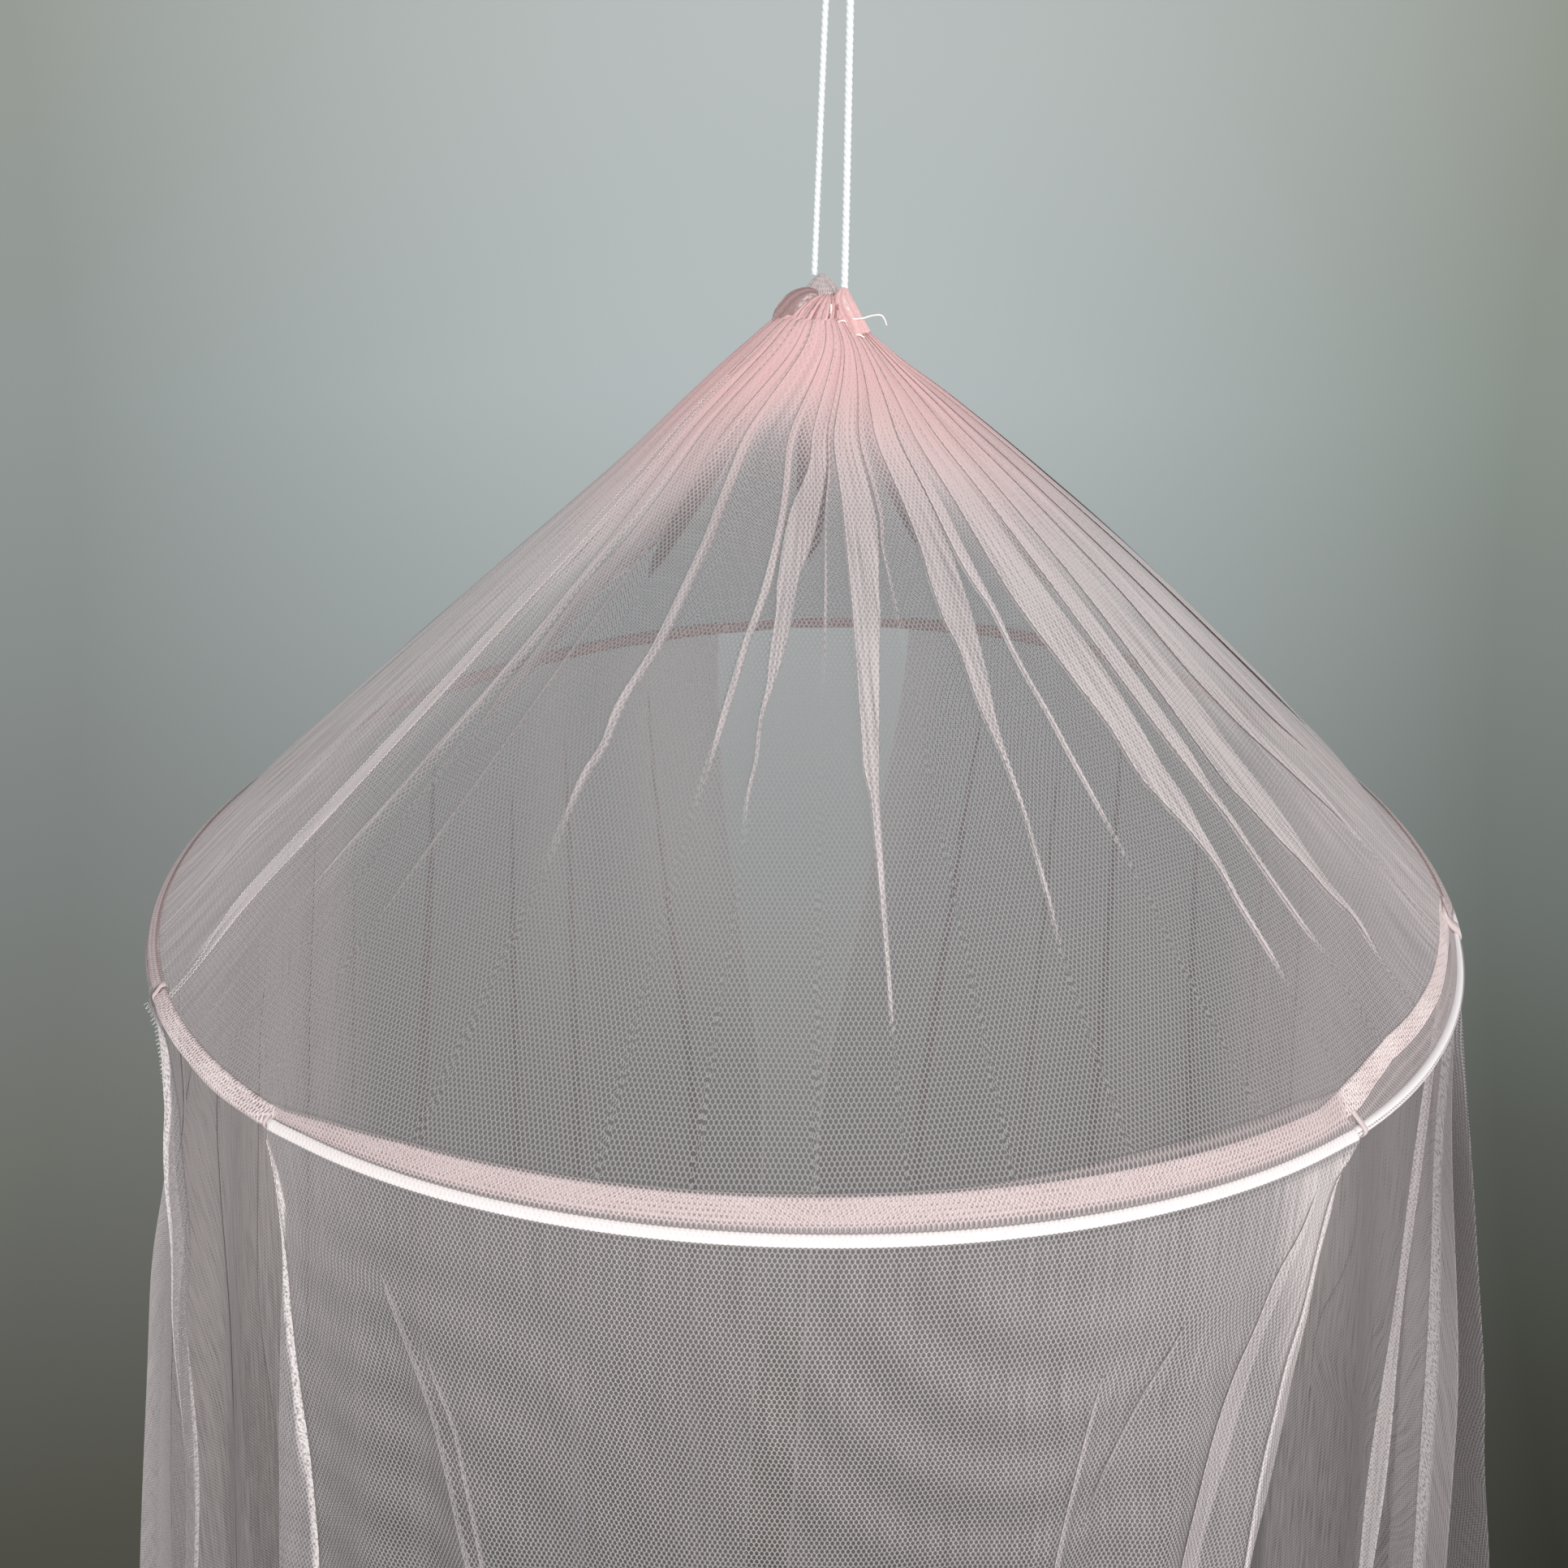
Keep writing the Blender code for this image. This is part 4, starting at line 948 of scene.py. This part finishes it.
rightPanel = {
    "node": "right_panel", "rise": False, "serge": ((0.0076, 1), (0.0016, 0.35)),
    # Place along the folds and how far the net is closed there. The first table also lightens the net there:
    # painted light.
    "paintedLight": [(15.9, 0), (16.35, 0.16), (17, 0.24)],
    "thick": [(0, 0.7), (2, 0.7), (2.6, 0.1), (3.6, 0.1), (4.6, 0.95), (8, 0.95), (10, 0.12), (17, 0)],
    "tucks": [
        *sideTucks(4.55, 5.2),
        tuck((0.33, 6.02, 6.04), (0.39, 6, 6.07), (0.44, 5.92, 6.06), (0.9, 5.8, 6.1), grow=0.03, fade=0.3,
             bright=0.8, dense=0.1),
        tuck((0.4, 6.72, 6.74), (0.46, 6.7, 6.78), (0.6, 6.55, 6.75), (1.3, 6.4, 6.8), grow=0.03, fade=0.4,
             bright=0.8, dense=0.1),
        tuck((0.25, 6.84, 6.86), (0.32, 6.9, 6.96), (0.37, 7.1, 7.18), (0.42, 7.36, 7.46), (0.5, 7.5, 7.6),
             grow=0.03, fade=0.05, bright=0.8, dense=0.1),
        *sideTucks(8.2, 9.3, 10.7, 12.2, 13.6, 15.1),
    ],
    "folds": [
        (77, 79, 74, [(0, 0), (0.16, -0.0117), (0.3, -0.0194), (2.05, -0.015)]),
        (76.3, 75.5, 68, [(0, 0), (0.16, -0.005), (0.3, -0.0073), (2.05, 0.01)]),
        (78.5, 83, 74, [(0, 0), (0.16, -0.0148), (0.3, -0.0256), (2.05, -0.03)]),
        (81.5, 77, 70, [(0, 0), (0.03, 0.0036), (0.06, 0.0056), (0.12, 0.0062), (0.2, 0.006), (0.3, 0.0085),
                        (0.42, 0.0185), (2.05, 0.058)]),
        (86, 82, 77, 0.02, -0.022), (91, 88.5, 82.5, 0.04, 0.02), (97, 95.5, 89, 0.04, -0.03),
        (104.5, 104, 98, 0.06, 0.04), (111, 111, 106.5, 0.06, -0.02), (116.5, 117, 112.5, 0.05, 0.018),
        (123, 123.5, 119.5, 0.05, -0.032), (130.5, 131, 128.5, 0.04, 0.042), (138, 138, 137, 0.04, -0.026),
        (143.5, 144, 143.5, 0.06, 0.022), (149, 150, 150.5, 0.06, -0.018),
        (156.5, 157.5, 159.5, 0.03, 0.036), (162.5, 163.5, 167.5, 0.02, -0.022),
        (167.4, 168.6, 178, 0.01, 0.006),
    ],
}
leftPanel = {
    "node": "left_panel", "rise": False, "serge": ((0.0016, 0.35), (0.008, 0.7)),
    "paintedLight": [(0, 0.2), (0.8, 0.3), (1.7, 0.3), (2.6, 0.08), (3.4, 0.2), (4.3, 0.05), (6, 0)],
    "thick": [(0, 0), (7, 0.08), (8, 0.65), (13.2, 0.88), (14.2, 0.45), (15, 0), (15.8, 0), (18, 0.25)],
    "tucks": [
        *sideTucks(1.6, 3.1, 4.3, 5.9, 7.3, 8.35),
        tuck((0.08, 9.75, 9.78), (0.37, 9.58, 9.72), (0.57, 9.2, 9.4), (1.2, 8.95, 9.25), grow=0.1,
             fade=0.5, bright=0.6, dense=0.12),
        tuck((0.12, 11.1, 11.15), (0.23, 10.85, 11.05), (0.45, 10.1, 10.45), (0.65, 9.8, 10.15),
             (1.4, 9.5, 10), grow=0.06, fade=0.5, bright=0.75, dense=0.2),
        tuck((0.1, 11.85, 11.9), (0.2, 11.65, 11.85), (0.29, 11.6, 11.85), (0.44, 11.15, 11.5),
             (0.6, 11.05, 11.4), (1.4, 10.8, 11.2), grow=0.06, fade=0.5, bright=0.7, dense=0.15),
        *sideTucks(12.9),
    ],
    "folds": [
        (191.6, 191.6, 194, 0.01, 0.006), (196.5, 196, 193, 0.02, -0.02), (203.5, 203, 201, 0.03, 0.034),
        (211, 210.5, 209.5, 0.05, -0.028), (217, 216.5, 215, 0.05, 0.022),
        (222.5, 222, 220.5, 0.04, -0.018), (230, 230, 228.5, 0.06, 0.038),
        (238.5, 239, 238.5, 0.06, -0.032), (245, 245.5, 246, 0.04, 0.024), (250.5, 251, 252, 0.04, -0.02),
        (257.5, 258, 259.5, 0.05, 0.026), (266, 267, 269.5, 0.05, -0.034), (274.5, 275.5, 278, 0.03, 0.04),
        (280.5, 282, 284.5, 0.03, -0.016), (286.5, 289, 291, 0.02, 0.03), (292, 294.5, 294.5, 0.02, -0.018),
        (298.2, 298.8, 300, [(0, 0), (0.16, -0.007), (0.3, -0.013), (2.05, -0.012)]),
        (297.8, 297, 298.2, [(0, 0.001), (0.1, 0.004), (0.16, -0.001), (0.3, -0.0108), (2.05, -0.014)]),
        (297.6, 296.8, 298, [(0, 0), (0.1, -0.0012), (0.16, -0.0072), (0.3, -0.017), (2.05, -0.021)]),
    ],
}
panels = {"front": frontPanel, "right": rightPanel, "left": leftPanel}
midDepth = 0.16
hoopClear = 0.0011
overHoop = (88, 78, 52, 28, 8, 0)  # turns round the outside of the hoop, where a panel goes over it
netGirth = 0.31  # metres to a radian round the front panel


skirtShape = {
    "clear": 0.0015, "flare": 0.150, "ease": 0.100,
    # Angle round the hoop and how narrow the place is.
    "swellAt": (68, 6), "dentAt": (-78, 8),
    # Metres in or out, and the depths where they come.
    "swell": 0.020, "swellBy": 0.300, "dent": 0.0058, "dentDepth": 0.122, "dentTall": 0.042,
    "upperDent": 0.0046, "upperDepth": 0.03, "upperTall": 0.055, "bulge": 0.003, "bulgeBelow": 0.2,
}


def skirtRadius(depth, angle):
    # The skirt's middle surface: it flares, swells on the right and is drawn in on the left.
    shape = skirtShape
    flare = shape["flare"] * depth / (1 + shape["ease"] * depth)
    right, left = (np.maximum(0.0, np.cos(np.radians(angle - at))) ** sharpness
                   for at, sharpness in (shape["swellAt"], shape["dentAt"]))
    dent = (shape["dent"] * hump(depth - shape["dentDepth"], shape["dentTall"])
            - shape["bulge"] * smooth((depth - shape["bulgeBelow"]) / 0.2))
    dent = dent + (shape["upperDent"] * smooth(depth / 0.018)
                   * hump(depth - shape["upperDepth"], shape["upperTall"]))
    swell = shape["swell"] * right * smooth(depth / shape["swellBy"]) ** 1.3
    return hoopRadius + hoopWire / 2 + shape["clear"] + flare + swell - left * dent


def nearHoop(depth):
    # How far the cloth still follows the hoop's bend.
    return np.maximum(0.0, 1 - depth / 0.060)


def foldAngle(fold, depth):
    top, middle, hem = fold[:3]
    # Toward the front panel's right edge the cloth swings in steeply at first.
    steep = smooth(top / 25) * (top < 50)
    share = (1 - steep) * smooth(depth / midDepth) + steep * np.clip(depth / midDepth, 0, 1) ** 0.57
    upper = top + (middle - top) * share
    lower = middle + (hem - middle) * smooth((depth - midDepth) / (skirtLength - midDepth))
    # The free edges at the back hang toward each other.
    away = np.where(depth < midDepth, upper, lower) - 180
    return 180 + away * (1 - 0.95 * smooth(depth / 0.50) * hump(away, 20.0))


def foldReach(fold, depth):
    if len(fold) == 4:
        return easeThrough(fold[3], depth)
    start, reach = fold[3:]
    return reach * np.maximum(0.0, (depth - start) / (skirtLength - start)) ** 0.75


def panelHead(angle, rise):
    # Rows of (radius, height) from the sewn edge over the band and round the outside of the hoop.
    low, high, face, _, casing = bandFrame(angle)
    head = []
    if rise is not None:
        for up in (rise, rise * 0.66, rise * 0.33):
            head.append((high[0] - up * math.cos(coneSlope) + 0.0015 * math.sin(coneSlope),
                         high[1] + 0.0008 + up * math.sin(coneSlope) + 0.0015 * math.cos(coneSlope)))
        head.append((high[0] + 0.0011, high[1] + 0.0019))
    for down, out, up in ((0.0, -0.0016, 0.0058), (0.3, -0.0004, 0.0052), (0.65, 0.0008, 0.0044),
                          (1.0, 0.0018, 0.0036)):
        head.append(cased(high + (low - high) * down + 0.0014 * face, (hoopRadius + out, up), casing))
    wrap = hoopWire / 2 + hoopClear + (casingRadius + 0.0006 - hoopWire / 2 - hoopClear) * casing
    for turn in overHoop:
        a = math.radians(turn) * (1 - 0.35 * casing)
        head.append((hoopRadius + wrap * np.cos(a), wrap * np.sin(a)))
    return head


# How far the front panel's net is closed near the hoop, in its wrinkles, toward the right and at that edge.
frontClose = {"head": 0.11, "wrinkle": 0.05, "right": 0.10, "edge": 0.30}
# Its slanting wrinkles: metres from one to the next, their slant, how they wander and the depth they end at.
wrinkles = {"spacing": 0.030, "across": 0.5, "down": -0.86, "wander": 0.8, "end": 0.9}


def frontCloseness(down, angle):
    across = np.radians(angle) * netGirth
    slant = ((wrinkles["across"] * across + wrinkles["down"] * down) / wrinkles["spacing"]
             + wrinkles["wander"] * np.sin(across * 23 + down * 9))
    wrinkle = np.sin(2 * np.pi * slant) * smooth(down / 0.04) * smooth((wrinkles["end"] - down) / 0.6)
    close = (frontClose["head"] * (1 - smooth(down / 0.28))
             + frontClose["wrinkle"] * wrinkle * (0.6 + 0.4 * np.sin(across * 31))
             + frontClose["right"] * smooth((angle - 4) / 22)
             + frontClose["edge"] * smooth((angle - 30) / 5) * (1 - smooth((down - 0.02) / 0.10)))
    return np.clip(close, 0, 1)


def buildPanel(key, material):
    panel = panels[key]
    depths = np.concatenate([[0.004], np.arange(0.010, 0.36, 0.006), np.arange(0.37, 0.7, 0.02),
                             np.arange(0.73, 2.03, 0.04), [2.035, skirtLength]])
    at = np.concatenate([[0.0], depths])
    places = np.arange(14 * (len(panel["folds"]) - 1) + 1) / 14
    lines, reaches = (curveThrough([shape(fold, at) for fold in panel["folds"]], places).T
                      for shape in (foldAngle, foldReach))
    if "sides" in panel:
        left, leftFlap, right, rightFlap = (easeThrough(rows, at) for rows in panel["sides"])
        angle, level, fold, dense = clothColumns(left, right, panel["tucks"], at, skirtRadius(at, 0.0), 2.4,
                                                 (leftFlap, rightFlap))[:4]
        lines = np.maximum.accumulate(lines, axis=1)
        reach = np.stack([np.interp(angle[r], lines[r], reaches[r]) for r in range(len(at))])
        dense = overlay(dense, frontCloseness(at[:, None], angle))
    else:
        # The side panels fold back on themselves, so their columns run along the folds instead.
        place, level, fold, dense = clothColumns(0.0, places[-1], panel["tucks"], at,
                                                 np.full(len(at), 2.3), 14)[:4]
        angle, reach = (np.stack([np.interp(place[r], places, v[r]) for r in range(len(at))])
                        for v in (lines, reaches))
        less = smooth(at / 0.018) - 0.45 * smooth((at - 0.22) / 0.30)
        dense = overlay(dense, fromTable(panel["thick"], place) * less[:, None])
        # Soft light bands near the back opening where the net doubles over: painted light on the panels'
        # upper part.
        fold = np.maximum(fold, fromTable(panel["paintedLight"], place) * (1 - smooth((at - 0.14) / 0.28))[:, None])
    angleTop, topLevel, topFold = angle[0], level[0], fold[0]
    angle, level, fold, dense, reach = (v[1:] for v in (angle, level, fold, dense, reach))
    ends = np.minimum(angleTop - angleTop.min(), angleTop.max() - angleTop)
    rise = 0.0005 + 0.0040 * smooth((angleTop - 8) / 16) * smooth(ends / 5.0) if panel["rise"] else None
    rows = [ringPoints(r + topLevel * layerGap, angleTop, z) for r, z in panelHead(angleTop, rise)]
    depth = np.broadcast_to(depths[:, None], angle.shape)
    body = ringPoints(skirtRadius(depth, angle) + reach + level * layerGap, angle, -depth, nearHoop(depth))
    points = np.concatenate([np.array(rows), body])
    head, columns = len(rows), body.shape[1]
    steps = np.linalg.norm(np.diff(points, axis=1), axis=2)
    u = np.concatenate([np.zeros((len(points), 1)), np.cumsum(steps, axis=1)], axis=1)
    fromSides = u - u[:, :1], u[:, -1:] - u
    v = np.concatenate([[0], np.cumsum(np.linalg.norm(np.diff(points, axis=0), axis=2).mean(axis=1))])
    maps = clothMap(u - u[:, columns // 2][:, None], v[:, None])
    # Over the hoop the net's holes show the hoop itself, so it looks closed there.
    over = np.zeros((head, columns))
    over[-len(overHoop) + 1:-1] = 0.9 * (1 - bandFrame(angleTop)[4])
    fold = np.concatenate([np.maximum(0.3 * topFold, over), fold])
    dense = np.concatenate([np.full((head, columns), 0.08), dense])
    pink = np.zeros_like(fold)
    onBand = slice(head - len(overHoop) - 4, head - len(overHoop))
    pink[onBand] = 0.3
    pink[:onBand.start] = 0.12
    fold[onBand] = np.maximum(fold[onBand], 0.2)
    grown = np.concatenate([np.zeros(head), smooth(depths / 0.03)])[:, None]
    for away, (wide, solid) in zip(fromSides, panel["serge"]):
        near = solid * (0.3 + 0.7 * grown) * (1 - smooth((away - 0.0005 - (wide - 0.0005) * grown) / 0.0009))
        dense, fold = np.maximum(dense, 0.8 * near), np.maximum(fold, 0.85 * near)
    cloth = netObject(key + "_cloth", points, material, maps, dense, fold, pink)
    cloth.data.flip_normals()
    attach(cloth, "root")
    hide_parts(panel["node"])
    pieces = [stitchedEdges(f"{key}_serging_{side}", [(body[:, column], body[:, column + step])],
                            panel["serge"][side][0] * 0.4) for side, column, step in ((0, 0, 2), (1, -1, -2))]
    if key == "right":
        pieces.append(buildEdgeStrip(material))


stripLook = {"angle": 79, "radius": 0.302, "flare": 0.085, "narrow": 0.0008, "widen": 0.0085, "curl": 0.0012,
             "shares": (-1, -0.6, -0.2, 0.2, 0.6, 1), "bright": (0.5, 0.2, 0.1, 0.1, 0.2, 0.6), "close": 0.5}


def buildEdgeStrip(material):
    # A narrow strip of the right panel's edge that hangs by itself.
    depths = np.concatenate([[0.002], np.arange(0.01, 0.4, 0.01), np.arange(0.43, 2.04, 0.04)])[:, None]
    middle = stripLook["angle"] - 3 * smooth(depths / skirtLength) + 0.5 * np.sin(depths * 9)
    wavy = 1 + 0.35 * np.sin(depths * 26 - 1.2)
    half = stripLook["narrow"] + stripLook["widen"] * np.minimum(depths, 0.45) * wavy
    shares = np.array(stripLook["shares"])
    curl = np.degrees(stripLook["curl"] * shares**2 / hoopRadius)
    radius = stripLook["radius"] + stripLook["flare"] * depths
    points = ringPoints(radius + half * shares, middle + curl, -depths, nearHoop(depths))
    strip = netObject("right_edge_strip", points, material, clothMap(half * shares, depths),
                      stripLook["close"], stripLook["bright"], 0.0)
    strip.data.flip_normals()
    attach(strip, "root")
    return strip


# The tabs round the hoop.

tabLook = {"off": 0.0008, "wrap": 0.0004, "colour": (0.72, 0.60, 0.59)}
tabs = {
    # angle, width, how far up the band, thickness
    "tab_front_left": (-40.2, 0.0016, 0.1, 0.0004), "tab_front_right": (41.2, 0.0022, 0.1, 0.0005),
    "tab_right": (75.6, 0.0085, 0.7, 0.0014), "tab_back_right": (168.2, 0.0044, 0.5, 0.0005),
    "tab_back_left": (190.8, 0.0044, 0.5, 0.0005), "tab_left": (-61.4, 0.0050, 0.5, 0.0003),
}


def tabPath(angle, reach):
    # Mid line in the (radius, height) plane: down the band, round under the hoop and back up inside.
    low, high, face, _, casing = bandFrame(angle)
    out = (tabLook["off"] + 0.0002 * casing) * face
    top = low + (high - low) * reach
    wrap = hoopWire / 2 + tabLook["wrap"] + (casingRadius - 0.0006 - hoopWire / 2) * casing
    onHoop = ((-0.0036, 0.0053), (-0.0012, 0.0052), (-0.0041, 0.0020), (-0.0043, 0.0042))
    ends = [cased(flat, (hoopRadius + r, z), casing)
            for flat, (r, z) in zip((top + out, low + out, low - out + (0, 0.0004), top - out), onHoop)]
    turns = [math.radians(turn) for turn in range(60, -211, -30)]
    return ends[:2] + [(hoopRadius + wrap * math.cos(a), wrap * math.sin(a)) for a in turns] + ends[2:]


def buildTabs():
    material = makePlainMaterial("tapeWeave", tabLook["colour"], 0.8, grain=0.25, grainScale=2200, bump=0.4)
    for name, (angle, width, reach, thick) in tabs.items():
        path = evenPath([(r, 0.0, z) for r, z in tabPath(angle, reach)], 44)[0]
        along = unit(np.gradient(path, axis=0))
        normal = np.stack([along[:, 2], 0 * along[:, 0], -along[:, 0]], axis=1)
        columns = []
        for side, face in ((-1, 1), (-0.5, 1.1), (0, 1.0), (0.5, 1.1), (1, 1), (1, -1), (0, -1), (-1, -1)):
            spot = path + normal * face * thick / 2
            turn = side * math.degrees(width / 2 / hoopRadius)
            columns.append(ringPoints(spot[:, 0], angle + turn, spot[:, 2]))
        points = np.stack(columns, axis=1)
        tab = gridObject(name + "_tape", points, material, around=True, root=points[0].mean(axis=0),
                         tip=points[-1].mean(axis=0))
        mendFaces(tab)
        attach(tab, "root")
        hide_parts(name)
    print("tabs", len(tabs))


# The floor, the light and the surroundings.

roomLight = 0.57
# The wall's tones are painted light and shade: darker low down and toward the sides, darkest at the lower
# right.
wallTones = {
    # share of the way up the wall, colour out of 255
    "middle": [(0.04, (76, 74, 68)), (0.12, (93, 92, 86)), (0.18, (110, 110, 105)), (0.28, (130, 133, 129)),
               (0.4, (147, 154, 153)), (0.53, (166, 174, 174)), (0.66, (180, 188, 189)),
               (0.85, (184, 191, 190))],
    "left": [(0.04, (62, 62, 56)), (0.12, (78, 78, 70)), (0.18, (92, 92, 87)), (0.28, (111, 113, 107)),
             (0.4, (124, 128, 126)), (0.53, (136, 142, 140)), (0.66, (145, 152, 150)),
             (0.85, (151, 156, 150))],
    "right": [(0.04, (42, 41, 36)), (0.13, (52, 52, 47)), (0.195, (66, 67, 61)), (0.3, (88, 91, 85)),
              (0.41, (109, 115, 111)), (0.54, (126, 132, 128)), (0.675, (138, 146, 139)),
              (0.85, (147, 152, 142))],
}
lamps = {
    # place, target, size, power, colour
    "key": ((0.14, -1.20, 0.12), (0, 0, -0.42), 0.9, 11.6, (1.0, 0.985, 0.975)),
    "fill_left": ((-1.6, -0.55, -0.15), (0, 0, -0.4), 1.2, 5.5, (1.0, 0.94, 0.90)),
    "fill_right": ((1.6, -0.55, -0.15), (0, 0, -0.4), 1.2, 8, (1.0, 0.94, 0.90)),
}


def toLinear(value):
    c = value / 255
    return c / 12.92 if c <= 0.04045 else ((c + 0.055) / 1.055) ** 2.4


def wallRamp(add, place, tones):
    ramp = add("ValToRGB", {0: place})
    elements = ramp.socket.node.color_ramp.elements
    while len(elements) < len(tones):
        elements.new(0.5)
    for element, (position, colour) in zip(elements, tones):
        element.position = position
        element.color = (*[toLinear(c) for c in colour], 1)
    return ramp


floorLook = {"radius": 0.8, "height": -2.456, "colour": (0.62, 0.62, 0.60)}


def buildFloor():
    mesh = bpy.data.meshes.new("floor")
    turns = [k * math.pi / 48 for k in range(96)]
    ring = [(floorLook["radius"] * math.sin(a), floorLook["radius"] * math.cos(a), floorLook["height"])
            for a in turns]
    mesh.from_pydata(ring, [], [tuple(range(95, -1, -1))])
    mesh.materials.append(makePlainMaterial("floorPaint", floorLook["colour"], 0.8, 0.05, 40))
    floor = addObject("floor", mesh)


def buildRoom():
    world = bpy.data.worlds.new("room")
    bpy.context.scene.world = world
    world.use_nodes = True
    world.node_tree.nodes.clear()
    add = partial(addNode, world.node_tree)
    parts = add("SeparateXYZ", {0: add("TexCoord", {}, "Generated")}).socket.node.outputs
    across, height = Signal(parts[0]), Signal(parts[2]).stretched(-0.85, 0.15)
    left, middle, right = (wallRamp(add, height, wallTones[k]) for k in ("left", "middle", "right"))
    wall = mixColours(add, across.stretched(-0.42, 0.42), left, right)
    # The wall is brighter toward its middle: painted light.
    wall = mixColours(add, (1.0 - across * across * 5.67).clamped(), wall, middle)
    seen = add("Background", {"Color": wall})
    light = add("Background", {"Color": (0.93, 0.97, 1.0, 1), "Strength": roomLight})
    shown = add("MixShader", {0: add("LightPath", {}, "Is Camera Ray"), 1: light, 2: seen})
    join(shown, world.node_tree.nodes.new("ShaderNodeOutputWorld").inputs[0])


def buildLamps():
    for name, (place, target, size, power, colour) in lamps.items():
        data = bpy.data.lights.new(name, "AREA")
        data.shape = "DISK"
        data.size = size
        data.energy = power
        data.color = colour
        lamp = addObject(name, data)
        lamp.location = place
        lamp.rotation_euler = (Vector(target) - Vector(place)).to_track_quat("-Z", "Y").to_euler()


netMaterial = makeNetMaterial("net", netLook)
buildHoop()
buildBand()
buildCone(netMaterial)
for key in panels:
    buildPanel(key, netMaterial)
buildTabs()
buildFloor()
buildRoom()
buildLamps()
bpy.context.scene.cycles.transparent_max_bounces = 64
bpy.context.scene.view_settings.view_transform = "Standard"
